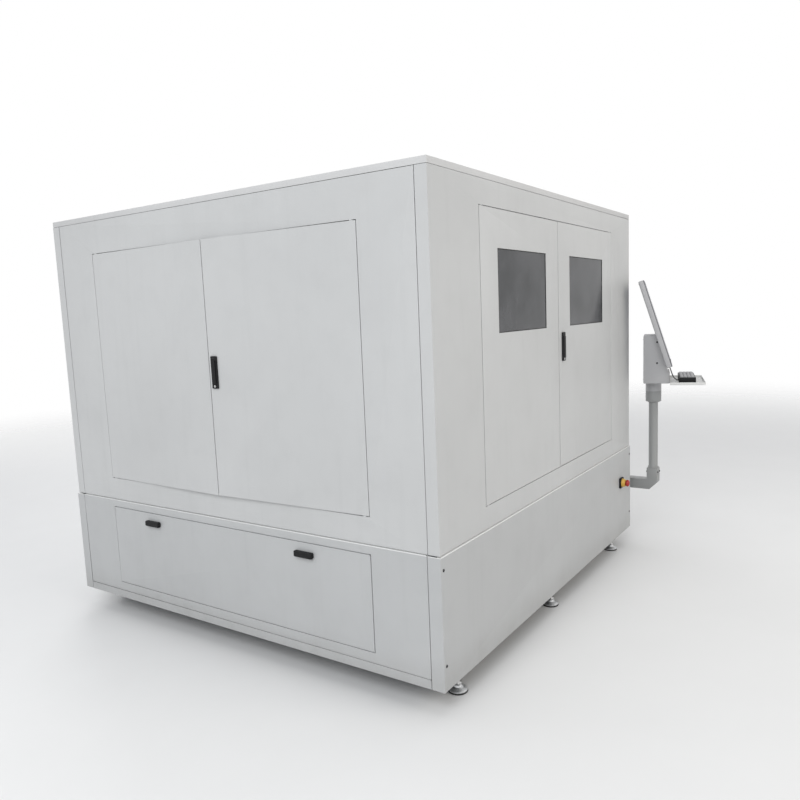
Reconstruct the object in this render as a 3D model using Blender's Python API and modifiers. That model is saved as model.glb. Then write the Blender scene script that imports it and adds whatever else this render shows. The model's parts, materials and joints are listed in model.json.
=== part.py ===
"""Fully enclosed fiber laser cutting machine, in metres with +Z up.

The cabinet's front, with two window doors, looks along -Y. Its loading side, with two large doors
and a slag drawer, looks along -X. The operator's console stands on an arm at the right front corner.
Pieces are laid out from the cabinet's front left corner on the floor, and the whole machine is then
centred over the origin.
"""

import math

import bmesh
import bpy
from mathutils import Matrix, Vector

# Cabinet
cabinet_width = 2.294
cabinet_depth = 2.215
cabinet_height = 1.900
floor_gap = 0.100
base_height = 0.511
upper_inset = 0.005
roof_rim = 0.025
corner_fold = 0.055
sheet = 0.002
panel_return = 0.020
corner_relief = 0.006
seam_gap = 0.003
roof_gap = 0.0015
fit_gap = 0.0003
cut_overrun = 0.010

# Doorways and doors
front_door_side = 0.370
front_door_far_side = 0.346
front_door_step = 0.095
front_door_head = 0.124
side_door_side = 0.3095
side_door_step = 0.110
side_door_head = 0.178
side_doors_ajar = math.radians(1.8)
hinge_edge = 0.022
hinge_depth = 0.008
hinge_pin_radius = 0.005
hinge_washer_radius = 0.009
hinge_pin_length = 0.014
hinge_pin_sides = 12
door_stiffener_width = 0.060
door_stiffener_depth = 0.015
stiffener_shares = (0.30, 0.70)
front_stiffener_share = 0.25

# Windows
window_height = 0.336
window_outer_margin = 0.152
window_inner_margin = 0.147
window_head = 0.155
pane_lap = 0.018
pane_thickness = 0.005

# Door locks
lock_width = 0.035
lock_height = 0.138
lock_thickness = 0.008
lock_edge = 0.032
lock_rounding = 0.003
side_lock_height = 1.094
front_lock_height = 1.120
lever_width = 0.020
lever_length = 0.104
lever_thickness = 0.009
lever_floor = 0.002

# Slag drawer
drawer_sill = 0.080
drawer_head = 0.035
drawer_length = 1.250
drawer_wall_height = 0.260
drawer_side_gap = 0.045
drawer_lift = 0.022
drawer_flange = 0.030
pull_width = 0.096
pull_height = 0.026
pull_depth = 0.020
pull_wall = 0.003
pull_top_drop = 0.036
pull_spacing = 0.954
pull_shift = 0.012
runner_height = 0.050

# Sill strips below the side panels
sill_height = 0.036

# Welded frames
base_tube = 0.080
base_rail = 0.026
frame_tube = 0.050
bed_inset = 0.200
bed_width = 0.100
bed_height = 0.180
bed_level = 0.700
bed_start = 0.150
bearer_width = 0.060
bearer_height = 0.060
bearer_place = 0.460
jamb_offset = 0.010

# Levelling feet
foot_pad_radius = 0.040
foot_pad_height = 0.012
foot_cone_radius = 0.018
foot_cone_height = 0.024
foot_stud_radius = 0.010
foot_nut_radius = 0.016
foot_nut_height = 0.014
foot_side = 0.200
foot_inset = 0.062
foot_sides = 12

# Cutting table
slat_count = 13
slat_thickness = 0.004
slat_height = 0.080
slat_tooth = 0.052
slat_tooth_depth = 0.014
table_side = 0.400
comb_thickness = 0.008
comb_height = 0.075
slat_drop = 0.045

# Guide rails, racks and gantry
rail_width = 0.020
rail_height = 0.017
rail_start = 0.380
rail_end_clear = 0.275
rack_width = 0.018
rack_height = 0.018
rack_clearance = 0.003
rack_tooth_pitch = 0.030
rack_tooth_depth = 0.005
block_length = 0.070
block_width = 0.044
block_height = 0.024
block_lip = 0.012
end_plate_width = 0.110
end_plate_reach = 0.108
end_plate_length = 0.250
end_plate_thickness = 0.020
end_post_height = 0.060
post_inset = 0.008
beam_height = 0.160
beam_depth = 0.130
beam_wall = 0.012
gantry_rear_clear = 0.865
cross_rail_drop = 0.030
motor_width = 0.080
motor_length = 0.140
motor_rounding = 0.006
reducer_radius = 0.030
reducer_length = 0.050
pinion_radius = 0.018
pinion_clearance = 0.001
shaft_radius = 0.008
shaft_clearance = 0.002

# Carriage, head slide and cutting head
carriage_width = 0.200
carriage_height = 0.260
carriage_rise = 0.030
carriage_thickness = 0.015
carriage_place = 0.850
motor_shelf = 0.012
lift_rail_width = 0.020
lift_rail_depth = 0.012
lift_rail_spacing = 0.080
head_slide_width = 0.130
head_slide_height = 0.180
head_block_height = 0.110
head_slide_thickness = 0.014
head_clamp_depth = 0.040
head_clamp_height = 0.060
head_body_radius = 0.034
head_neck_radius = 0.022
head_fiber_radius = 0.016
head_length = 0.330
nozzle_radius = 0.014
nozzle_tip_radius = 0.004
nozzle_length = 0.030
nozzle_clearance = 0.060

# Fume outlet and power inlet on the rear
fume_radius = 0.100
fume_wall = 0.003
fume_length = 0.070
fume_flange_width = 0.025
fume_flange_thickness = 0.004
fume_sides = 24
fume_head = 0.250
fume_place = 0.640
inlet_side = 0.300
inlet_bottom = 0.200
inlet_width = 0.160
inlet_height = 0.100
inlet_thickness = 0.006
inlet_gland_radius = 0.018
inlet_gland_length = 0.026
inlet_bore_radius = 0.010
louvre_count = 6
louvre_width = 0.260
louvre_height = 0.010
louvre_pitch = 0.026
louvre_side = 0.420
louvre_bottom = 0.200

# Emergency stop
stop_side = 0.196
stop_height = 0.320
stop_box_width = 0.056
stop_box_height = 0.060
stop_box_depth = 0.012
stop_box_rounding = 0.003
stop_collar_foot_radius = 0.026
stop_collar_radius = 0.020
stop_collar_length = 0.020
stop_head_radius = 0.020
stop_head_length = 0.016
stop_stem_radius = 0.010
stop_travel = 0.005

# Console
console_offset = 0.130
console_front = 0.106
console_swivel = math.radians(14.4)
arm_height = 0.064
arm_width = 0.066
arm_bottom = 0.220
arm_reach_back = 0.420
arm_chamfer = 0.048
arm_rounding = 0.004
arm_bracket_length = 0.120
arm_bracket_inset = 0.010
elbow_depth = 0.064
elbow_rise = 0.074
column_radius = 0.027
column_top = 0.768
collar_radius = 0.031
collar_height = 0.008
socket_radius = 0.046
socket_height = 0.071
swivel_radius = 0.046
swivel_height = 0.057
console_box_width = 0.260
console_box_depth = 0.150
console_box_height = 0.288
console_box_back = 0.058
console_box_rounding = 0.006
monitor_width = 0.480
monitor_length = 0.530
monitor_thickness = 0.034
monitor_tilt = math.radians(17.5)
monitor_rounding = 0.008
monitor_foot_depth = 0.073
monitor_foot_height = 0.996
bezel_width = 0.024
bezel_recess = 0.002
tray_width = 0.440
tray_depth = 0.193
tray_rim = 0.016
keyboard_width = 0.340
keyboard_depth = 0.092
keyboard_height = 0.040
keyboard_rounding = 0.004
keyboard_set_back = 0.051
key_columns = 12
key_rows = 4
key_gap = 0.003
key_border = 0.007
key_rise = 0.003
lead_radius = 0.003
lead_side = 0.050
lead_stub = 0.014

finishes = {
    "white_paint": ((0.66, 0.66, 0.65, 1.0), 0.42, 0.0),
    "grey_paint": ((0.30, 0.31, 0.31, 1.0), 0.48, 0.0),
    "frame_paint": ((0.24, 0.26, 0.28, 1.0), 0.55, 0.0),
    "black_plastic": ((0.010, 0.010, 0.011, 1.0), 0.45, 0.0),
    "zinc_steel": ((0.55, 0.55, 0.54, 1.0), 0.38, 1.0),
    "bright_steel": ((0.62, 0.62, 0.62, 1.0), 0.25, 1.0),
    "mill_steel": ((0.20, 0.19, 0.18, 1.0), 0.62, 1.0),
    "beam_metal": ((0.50, 0.51, 0.52, 1.0), 0.40, 1.0),
    "dark_metal": ((0.05, 0.05, 0.055, 1.0), 0.45, 1.0),
    "tinted_glass": ((0.06, 0.065, 0.07, 0.55), 0.08, 0.0),
    "silver_paint": ((0.45, 0.45, 0.47, 1.0), 0.40, 0.2),
    "red_plastic": ((0.45, 0.02, 0.02, 1.0), 0.35, 0.0),
    "yellow_plastic": ((0.75, 0.45, 0.02, 1.0), 0.40, 0.0),
    "copper": ((0.72, 0.40, 0.25, 1.0), 0.30, 1.0),
}

cabinet_bottom = floor_gap
cabinet_top = floor_gap + cabinet_height
base_top = floor_gap + base_height
upper_bottom = base_top + seam_gap
upper_top = cabinet_top - roof_rim - roof_gap
upper_height = upper_top - upper_bottom
base_frame_inset = panel_return + fit_gap
upper_frame_inset = upper_inset + panel_return + fit_gap
front_door_width = cabinet_width - front_door_side - front_door_far_side
front_door_sill = base_height + front_door_step
front_door_height = cabinet_height - front_door_sill - front_door_head
side_door_width = cabinet_depth - 2 * side_door_side
side_door_sill = base_height + side_door_step
side_door_height = cabinet_height - side_door_sill - side_door_head
window_width = front_door_width / 2 - window_outer_margin - window_inner_margin
window_sill = front_door_height - window_head - window_height
drawer_front_height = base_height - drawer_sill - drawer_head
bed_rear = cabinet_depth - bed_start
bed_top = cabinet_bottom + bed_level
bed_bottom = bed_top - bed_height
rail_length = cabinet_depth - rail_start - rail_end_clear
rack_offset = (block_width + rack_width) / 2 + rack_clearance
pinion_offset = rack_offset + rack_width / 2 + pinion_clearance + pinion_radius
gantry_place = cabinet_depth - gantry_rear_clear
right_bed = cabinet_width - bed_inset - bed_width
beam_bottom = (bed_top + fit_gap + rail_height + fit_gap + block_height
               + end_plate_thickness + end_post_height)
carriage_bottom = beam_bottom + (beam_height - carriage_height) / 2 + carriage_rise
carriage_top = carriage_bottom + carriage_height
slat_top = bed_bottom + bearer_height + fit_gap + slat_height + slat_drop
fume_flange_radius = fume_radius + fume_flange_width
fume_height = cabinet_height - fume_head
stop_place = cabinet_width - stop_side


def clear_scene():
    for old in list(bpy.data.objects):
        bpy.data.objects.remove(old, do_unlink=True)


def new_collection(name):
    collection = bpy.data.collections.new(name)
    bpy.context.scene.collection.children.link(collection)
    return collection


clear_scene()
pieces = new_collection("fiber_laser_cutting_machine")
cutters = new_collection("cutters")


def new_material(name, finish):
    colour, roughness, metallic = finishes[finish]
    material = bpy.data.materials.new(name)
    material.use_nodes = True
    shader = material.node_tree.nodes["Principled BSDF"]
    shader.inputs["Base Color"].default_value = colour
    shader.inputs["Roughness"].default_value = roughness
    shader.inputs["Metallic"].default_value = metallic
    shader.inputs["Alpha"].default_value = colour[3]
    return material


def new_empty(name, parent, place=(0, 0, 0), turn=0):
    empty = bpy.data.objects.new(name, None)
    empty.parent = parent
    empty.location = place
    empty.rotation_euler = (0, 0, turn)
    pieces.objects.link(empty)
    return empty


def new_object(name, bm, parent, place, turn, collection):
    mesh = bpy.data.meshes.new(name)
    bm.to_mesh(mesh)
    bm.free()
    made = bpy.data.objects.new(name, mesh)
    made.parent = parent
    made.location = place
    made.rotation_euler = (0, 0, turn)
    collection.objects.link(made)
    return made


def shade_round(mesh):
    mesh.shade_smooth()
    mesh.set_sharp_from_angle(angle=math.radians(32))


def add_piece(name, bm, finish, parent, place=(0, 0, 0), turn=0, smooth=False):
    piece = new_object(name, bm, parent, place, turn, pieces)
    piece.data.materials.append(new_material(name, finish))
    if smooth:
        shade_round(piece.data)
    return piece


def add_cutter(name, bm, parent, place=(0, 0, 0), turn=0):
    cutter = new_object(name, bm, parent, place, turn, cutters)
    cutter.hide_render = True
    cutter.display_type = "WIRE"
    return cutter


def box(low, high):
    low, high = Vector(low), Vector(high)
    size = high - low
    bm = bmesh.new()
    bmesh.ops.create_cube(
        bm, size=1, matrix=Matrix.Translation((low + high) / 2) @ Matrix.Diagonal((*size, 1)))
    return bm


def rod(radius, start, end, sides=16, end_radius=None):
    """A rod or a cone from one point to another."""
    start, end = Vector(start), Vector(end)
    along = end - start
    turn = along.to_track_quat("Z", "Y").to_matrix().to_4x4()
    bm = bmesh.new()
    bmesh.ops.create_cone(
        bm, cap_ends=True, segments=sides, radius1=radius,
        radius2=radius if end_radius is None else end_radius, depth=along.length,
        matrix=Matrix.Translation((start + end) / 2) @ turn)
    return bm


def add_block(name, low, high, finish, parent, rounding=0, segments=2):
    block = add_piece(name, box(low, high), finish, parent, smooth=rounding > 0)
    if rounding:
        round_edges(block, rounding, segments)
    return block


def round_edges(piece, width, segments=2):
    bevel = piece.modifiers.new("rounding", "BEVEL")
    bevel.width = width
    bevel.segments = segments
    bevel.limit_method = "ANGLE"
    return bevel


def combine(piece, operation, shapes, place=(0, 0, 0), turn=0, parent=None):
    """Join the shapes to a piece, or cut them out of it, in one Boolean."""
    group = bpy.data.collections.new(piece.name + "_" + operation.lower())
    cutters.children.link(group)
    parent = parent or piece.parent
    for index, bm in enumerate(shapes):
        cutter = add_cutter(f"{piece.name}_{operation.lower()}_{index}", bm, parent, place, turn)
        cutters.objects.unlink(cutter)
        group.objects.link(cutter)
    boolean = piece.modifiers.new(operation.lower(), "BOOLEAN")
    boolean.operation = operation
    boolean.operand_type = "COLLECTION"
    boolean.collection = group
    boolean.solver = "EXACT"
    return boolean


def add_frame(name, bars, finish, parent):
    """A welded frame of bars, each given by its low and high corner."""
    first, *others = bars
    frame = add_piece(name, box(*first), finish, parent)
    combine(frame, "UNION", [box(*bar) for bar in others])
    return frame


def on_plane(edge, axis, value):
    return all(abs(vert.co[axis] - value) < fit_gap for vert in edge.verts)


def fold(bm, edges, depth):
    made = bmesh.ops.extrude_edge_only(bm, edges=edges)["geom"]
    verts = [item for item in made if isinstance(item, bmesh.types.BMVert)]
    bmesh.ops.translate(bm, verts=verts, vec=(0, depth, 0))


def folded_face(width, height, folds, hole=None, hole_fold=0):
    """The outer face of a folded sheet, in the XZ plane, looking along -Y.

    folds are the depths at the left, right, bottom and top edges. hole is (x0, x1, z0, z1).
    """
    left, right, bottom, top = folds
    bm = bmesh.new()
    stand_up = Matrix.Rotation(math.radians(90), 4, "X")
    stretch = Matrix.Diagonal((width, 1, height, 1))
    bmesh.ops.create_grid(
        bm, x_segments=1, y_segments=1, size=0.5,
        matrix=Matrix.Translation((width / 2, 0, height / 2)) @ stretch @ stand_up)
    cuts = [(0, corner_relief), (0, width - corner_relief)]
    if hole:
        cuts += [(0, hole[0]), (0, hole[1]), (2, hole[2]), (2, hole[3])]
    for axis, value in cuts:
        place = Vector((0, 0, 0))
        place[axis] = value
        normal = Vector((0, 0, 0))
        normal[axis] = 1
        bmesh.ops.bisect_plane(
            bm, geom=bm.verts[:] + bm.edges[:] + bm.faces[:], plane_co=place, plane_no=normal)
    if hole:
        inside = [face for face in bm.faces
                  if hole[0] < face.calc_center_median().x < hole[1]
                  and hole[2] < face.calc_center_median().z < hole[3]]
        bmesh.ops.delete(bm, geom=inside, context="FACES")
    rims = {"left": [], "right": [], "bottom": [], "top": [], "hole": []}
    for edge in bm.edges:
        if not edge.is_boundary:
            continue
        middle = (edge.verts[0].co + edge.verts[1].co) / 2
        inner = corner_relief < middle.x < width - corner_relief
        if on_plane(edge, 0, 0):
            rims["left"].append(edge)
        elif on_plane(edge, 0, width):
            rims["right"].append(edge)
        elif on_plane(edge, 2, 0):
            if inner:
                rims["bottom"].append(edge)
        elif on_plane(edge, 2, height):
            if inner:
                rims["top"].append(edge)
        else:
            rims["hole"].append(edge)
    for rim, depth in (("left", left), ("right", right), ("bottom", bottom), ("top", top),
                       ("hole", hole_fold)):
        if depth and rims[rim]:
            fold(bm, rims[rim], depth)
    return bm


def face_place(face, start, bottom, inset):
    """Place and turn of something on a face of the cabinet.

    start runs from the face's left end, as seen from outside.
    """
    return {
        "front": ((start, inset, bottom), 0),
        "left": ((inset, cabinet_depth - start, bottom), math.radians(-90)),
        "right": ((cabinet_width - inset, start, bottom), math.radians(90)),
        "rear": ((cabinet_width - start, cabinet_depth - inset, bottom), math.radians(180)),
    }[face]


def add_panel(name, face, start, bottom, inset, width, height, folds, parent,
              hole=None, hole_fold=0, finish="white_paint"):
    place, turn = face_place(face, start, bottom, inset)
    panel = add_piece(name, folded_face(width, height, folds, hole, hole_fold), finish, parent,
                      place, turn)
    thicken(panel)
    return panel


def thicken(panel):
    solidify = panel.modifiers.new("sheet", "SOLIDIFY")
    solidify.thickness = sheet
    solidify.offset = -1
    solidify.use_even_offset = True


def add_turned(name, profile, finish, parent, place=(0, 0, 0), sides=20, axis="Z", tilt=0):
    """A turned piece from (radius, height) points that run from the top of its outside down."""
    bm = bmesh.new()
    verts = [bm.verts.new((radius, 0, height)) for radius, height in profile]
    for first, second in zip(verts, verts[1:]):
        bm.edges.new((first, second))
    turned = add_piece(name, bm, finish, parent, place)
    if tilt:
        turned.rotation_euler = (tilt, 0, 0)
    screw = turned.modifiers.new("turning", "SCREW")
    screw.axis = axis
    screw.steps = sides
    screw.render_steps = sides
    screw.use_merge_vertices = True
    screw.merge_threshold = 0.00002
    screw.use_smooth_shade = True
    return turned


def pin_shapes(x, low, high, washer_low, washer_high):
    """A hinge pin and its washer, upright in a doorway."""
    return [rod(hinge_pin_radius, (x, hinge_depth, low), (x, hinge_depth, high), hinge_pin_sides),
            rod(hinge_washer_radius, (x, hinge_depth, washer_low), (x, hinge_depth, washer_high),
                hinge_pin_sides)]


def add_hinge_pins(panel, hole):
    """Pins at the top and bottom of a doorway's two jambs, as one piece with its folded edge."""
    left, right, bottom, top = hole
    washer = seam_gap - fit_gap
    shapes = []
    for x in (left + seam_gap + hinge_edge, right - seam_gap - hinge_edge):
        shapes += pin_shapes(x, bottom - sheet / 2, bottom + hinge_pin_length,
                             bottom - sheet / 2, bottom + washer)
        shapes += pin_shapes(x, top - hinge_pin_length, top + sheet / 2,
                             top - washer, top + sheet / 2)
    combine(panel, "UNION", shapes, panel.location, panel.rotation_euler[2])


def channel(low_x, high_x, bottom, height, back):
    """A shallow open channel along X that stiffens a door from behind."""
    root = sheet / 2
    return [
        box((low_x, root, bottom), (high_x, back, bottom + sheet)),
        box((low_x, root, bottom + height - sheet), (high_x, back, bottom + height)),
        box((low_x, back - sheet, bottom), (high_x, back, bottom + height)),
    ]


def add_door(name, face, start, bottom, width, height, hinge_on_right, ajar, stiffener_places,
             parent, window=None):
    """A folded door hung on pins behind its outer edge, with its parent empty on the axis."""
    edge = width - hinge_edge if hinge_on_right else hinge_edge
    place, turn = face_place(face, start + edge, bottom, upper_inset + hinge_depth)
    swing = ajar if hinge_on_right else -ajar
    hinge = new_empty(name + "_hinge", parent, place, turn + swing)
    door = add_piece(name, folded_face(width, height, (panel_return,) * 4, window), "white_paint",
                     hinge, (-edge, -hinge_depth, 0))
    thicken(door)
    margin = panel_return + corner_relief
    shapes = []
    for share in stiffener_places:
        shapes += channel(margin, width - margin, share * height, door_stiffener_width,
                          door_stiffener_depth + sheet)
    combine(door, "UNION", shapes, door.location)
    bore = hinge_pin_radius + fit_gap
    overrun = hinge_pin_length
    holes = [rod(bore, (edge, hinge_depth, middle - overrun), (edge, hinge_depth, middle + overrun),
                 hinge_pin_sides) for middle in (0, height)]
    combine(door, "DIFFERENCE", holes, door.location)
    return hinge, door


def add_lock(name, hinge, door, centre_x, bottom):
    """A recessed lock body and its lever, whose parent empty is on the lever's pivot."""
    x, y = door.location.x + centre_x, door.location.y - fit_gap
    low = (x - lock_width / 2, y - lock_thickness, bottom)
    high = (x + lock_width / 2, y, bottom + lock_height)
    body = add_block(name, low, high, "black_plastic", hinge, lock_rounding)
    pocket_top = bottom + (lock_height + lever_length) / 2
    pocket = box(
        (x - lever_width / 2 - fit_gap, y - lock_thickness - cut_overrun,
         pocket_top - lever_length - 2 * fit_gap),
        (x + lever_width / 2 + fit_gap, y - lever_floor, pocket_top + 2 * fit_gap))
    combine(body, "DIFFERENCE", [pocket])
    radius = lever_thickness / 2
    pivot = new_empty(name + "_pivot", hinge, (x, y - lever_floor - fit_gap - radius,
                                               pocket_top - radius))
    half = lever_width / 2
    lever = add_piece(name + "_lever", rod(radius, (-half, 0, 0), (half, 0, 0)), "black_plastic",
                      pivot, smooth=True)
    grip = box((-half, -radius, radius - lever_length), (half, radius, 0))
    combine(lever, "UNION", [grip])
    return pivot


def add_levelling_foot(name, x, y, parent):
    top = cabinet_bottom - fit_gap
    nut_bottom = top - foot_nut_height
    add_turned(name, [
        (0, top), (foot_nut_radius, top), (foot_nut_radius, nut_bottom),
        (foot_stud_radius, nut_bottom), (foot_stud_radius, foot_cone_height),
        (foot_cone_radius, foot_cone_height), (foot_pad_radius, foot_pad_height),
        (foot_pad_radius, 0), (0, 0)], "zinc_steel", parent, (x, y, 0), sides=foot_sides)


def add_feet(parent):
    columns = {"left": foot_side, "middle": cabinet_width / 2, "right": cabinet_width - foot_side}
    rows = {"front": foot_inset, "rear": cabinet_depth - foot_inset}
    for row, y in rows.items():
        for column, x in columns.items():
            add_levelling_foot(f"{row}_{column}_foot", x, y, parent)


def ring_bars(inset, low, high, width):
    """Four level bars round the cabinet, just inside its panels."""
    x0, x1 = inset, cabinet_width - inset
    y0, y1 = inset, cabinet_depth - inset
    return [((x0, y0, low), (x1, y0 + width, high)), ((x0, y1 - width, low), (x1, y1, high)),
            ((x0, y0, low), (x0 + width, y1, high)), ((x1 - width, y0, low), (x1, y1, high))]


def corner_posts(inset, low, high, width):
    xs = (inset, cabinet_width - inset - width)
    ys = (inset, cabinet_depth - inset - width)
    return [((x, y, low), (x + width, y + width, high)) for x in xs for y in ys]


def add_bed_frame(parent):
    """The machine's welded base: bottom ring, legs, bed beams, table bearers and top rail."""
    inset = base_frame_inset
    ring_top = cabinet_bottom + base_tube
    bars = ring_bars(inset, cabinet_bottom, ring_top, base_tube)
    bars += ring_bars(inset, base_top - base_rail, base_top, frame_tube)
    bars += corner_posts(inset, cabinet_bottom, base_top, frame_tube)
    leg_lead = (bed_width - base_tube) / 2
    for y in (bed_start, bed_rear - base_tube):
        bars.append(((inset, y, cabinet_bottom), (cabinet_width - inset, y + base_tube, ring_top)))
        for x in (bed_inset + leg_lead, right_bed + leg_lead):
            bars.append(((x, y, cabinet_bottom), (x + base_tube, y + base_tube, bed_bottom + sheet)))
    for x in (bed_inset, right_bed):
        bars.append(((x, bed_start, bed_bottom), (x + bed_width, bed_rear, bed_top)))
    for y in bearer_rows():
        bars.append(((bed_inset, y, bed_bottom),
                     (right_bed + bed_width, y + bearer_width, bed_bottom + bearer_height)))
    for y in (bed_start, bed_rear - bearer_width):
        bars.append(((bed_inset, y, bed_bottom),
                     (right_bed + bed_width, y + bearer_width, bed_bottom + bearer_height)))
    add_frame("bed_frame", bars, "frame_paint", parent)


def bearer_rows():
    return bearer_place, cabinet_depth - bearer_place - bearer_width


def add_enclosure_frame(parent):
    """The tube frame that carries the upper panels and the roof."""
    inset = upper_frame_inset
    low, high = base_top + fit_gap, cabinet_top - sheet - fit_gap
    bars = ring_bars(inset, low, low + frame_tube, frame_tube)
    bars += ring_bars(inset, high - frame_tube, high, frame_tube)
    bars += corner_posts(inset, low, high, frame_tube)
    clear = jamb_offset + frame_tube
    for x in (front_door_side - clear, front_door_side + front_door_width + jamb_offset):
        bars.append(((x, inset, low), (x + frame_tube, inset + frame_tube, high)))
    for y in (side_door_side - clear, side_door_side + side_door_width + jamb_offset):
        bars.append(((inset, y, low), (inset + frame_tube, y + frame_tube, high)))
    middle_x = (cabinet_width - frame_tube) / 2
    middle_y = (cabinet_depth - frame_tube) / 2
    rear = cabinet_depth - inset - frame_tube
    right = cabinet_width - inset - frame_tube
    bars.append(((middle_x, rear, low), (middle_x + frame_tube, rear + frame_tube, high)))
    bars.append(((right, middle_y, low), (right + frame_tube, middle_y + frame_tube, high)))
    bars.append(((middle_x, inset, high - frame_tube),
                 (middle_x + frame_tube, cabinet_depth - inset, high)))
    add_frame("enclosure_frame", bars, "white_paint", parent)


def add_lower_panels(parent):
    """Folded front and rear panels that wrap the corners, with side panels between them."""
    full = base_height
    wrap = (corner_fold, corner_fold, panel_return, panel_return)
    add_panel("front_lower_panel", "front", 0, cabinet_bottom, 0, cabinet_width, full, wrap, parent)
    rear = add_panel("rear_lower_panel", "rear", 0, cabinet_bottom, 0, cabinet_width, full, wrap,
                     parent)
    add_louvres(rear)
    start = corner_fold + seam_gap
    width = cabinet_depth - 2 * start
    bottom = cabinet_bottom + sill_height + seam_gap
    height = full - sill_height - seam_gap
    side = (panel_return,) * 4
    hole_bottom = cabinet_bottom + drawer_sill - bottom
    hole = (side_door_side - start, side_door_side - start + side_door_width,
            hole_bottom, hole_bottom + drawer_front_height)
    add_panel("left_lower_panel", "left", start, bottom, 0, width, height, side, parent, hole,
              panel_return)
    add_panel("right_lower_panel", "right", start, bottom, 0, width, height, side, parent)
    for face in ("left", "right"):
        add_panel(face + "_sill", face, start, cabinet_bottom, 0, width, sill_height,
                  (0, 0, 0, panel_return), parent)


def add_louvres(panel):
    """Ventilation slots in the rear lower panel."""
    slots = []
    for index in range(louvre_count):
        low = louvre_bottom + index * louvre_pitch
        slots.append(box((louvre_side, -cut_overrun, low),
                         (louvre_side + louvre_width, cut_overrun, low + louvre_height)))
    combine(panel, "DIFFERENCE", slots, panel.location, panel.rotation_euler[2])


def add_upper_panels(parent):
    inset = upper_inset
    wide = cabinet_width - 2 * inset
    fold_depth = corner_fold - inset
    wrap = (fold_depth, fold_depth, panel_return, panel_return)
    hole_bottom = cabinet_bottom + front_door_sill - upper_bottom
    hole = (front_door_side - inset, front_door_side - inset + front_door_width,
            hole_bottom, hole_bottom + front_door_height)
    front = add_panel("front_upper_panel", "front", inset, upper_bottom, inset, wide, upper_height,
                      wrap, parent, hole, panel_return)
    add_hinge_pins(front, hole)
    rear = add_panel("rear_upper_panel", "rear", inset, upper_bottom, inset, wide, upper_height,
                     wrap, parent)
    mouth_height = cabinet_bottom + fume_height - upper_bottom
    mouth_side = cabinet_width - fume_place - inset
    mouth = rod(fume_radius, (mouth_side, -cut_overrun, mouth_height),
                (mouth_side, cut_overrun, mouth_height), sides=fume_sides)
    combine(rear, "DIFFERENCE", [mouth], rear.location, rear.rotation_euler[2])
    start = corner_fold + seam_gap
    width = cabinet_depth - 2 * start
    hole_bottom = cabinet_bottom + side_door_sill - upper_bottom
    side_hole = (side_door_side - start, side_door_side - start + side_door_width,
                 hole_bottom, hole_bottom + side_door_height)
    side = (panel_return,) * 4
    left = add_panel("left_upper_panel", "left", start, upper_bottom, inset, width, upper_height,
                     side, parent, side_hole, panel_return)
    add_hinge_pins(left, side_hole)
    add_panel("right_upper_panel", "right", start, upper_bottom, inset, width, upper_height, side,
              parent)


def add_roof(parent):
    """The roof lid, a shallow folded tray turned upside down."""
    inset = upper_inset
    bm = box((inset, inset, cabinet_top - roof_rim),
             (cabinet_width - inset, cabinet_depth - inset, cabinet_top))
    under = [face for face in bm.faces if face.normal.z < -0.5]
    bmesh.ops.delete(bm, geom=under, context="FACES")
    roof = add_piece("roof_panel", bm, "white_paint", parent)
    thicken(roof)


def add_doors(parent):
    """Two window doors in the front and two plain doors in the loading side."""
    width = (front_door_width - 3 * seam_gap) / 2
    height = front_door_height - 2 * seam_gap
    bottom = cabinet_bottom + front_door_sill + seam_gap
    sill = window_sill - seam_gap
    outer = window_outer_margin - seam_gap
    inner = width - outer - window_width
    for name, on_right in (("front_left", False), ("front_right", True)):
        start = front_door_side + seam_gap + (width + seam_gap if on_right else 0)
        low = inner if on_right else outer
        window = (low, low + window_width, sill, sill + window_height)
        hinge, door = add_door(name + "_door", "front", start, bottom, width, height, on_right, 0,
                               (front_stiffener_share,), parent, window)
        add_pane(name + "_window", hinge, door, window)
        if on_right:
            lock_bottom = front_lock_height - front_door_sill - seam_gap
            add_lock("front_door_lock", hinge, door, lock_edge + lock_width / 2, lock_bottom)
    width = (side_door_width - 3 * seam_gap) / 2
    height = side_door_height - 2 * seam_gap
    bottom = cabinet_bottom + side_door_sill + seam_gap
    for name, on_right in (("side_rear", False), ("side_front", True)):
        start = side_door_side + seam_gap + (width + seam_gap if on_right else 0)
        hinge, door = add_door(name + "_door", "left", start, bottom, width, height, on_right,
                               side_doors_ajar, stiffener_shares, parent)
        if on_right:
            lock_bottom = side_lock_height - side_door_sill - seam_gap
            add_lock("side_door_lock", hinge, door, lock_edge, lock_bottom)


def add_pane(name, hinge, door, window):
    """The tinted pane behind a door's window, with its clamping frame left to the door."""
    x0, x1, z0, z1 = window
    back = door.location.y + sheet + fit_gap
    low = (door.location.x + x0 - pane_lap, back, z0 - pane_lap)
    high = (door.location.x + x1 + pane_lap, back + pane_thickness, z1 + pane_lap)
    add_block(name, low, high, "tinted_glass", hinge)


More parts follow.
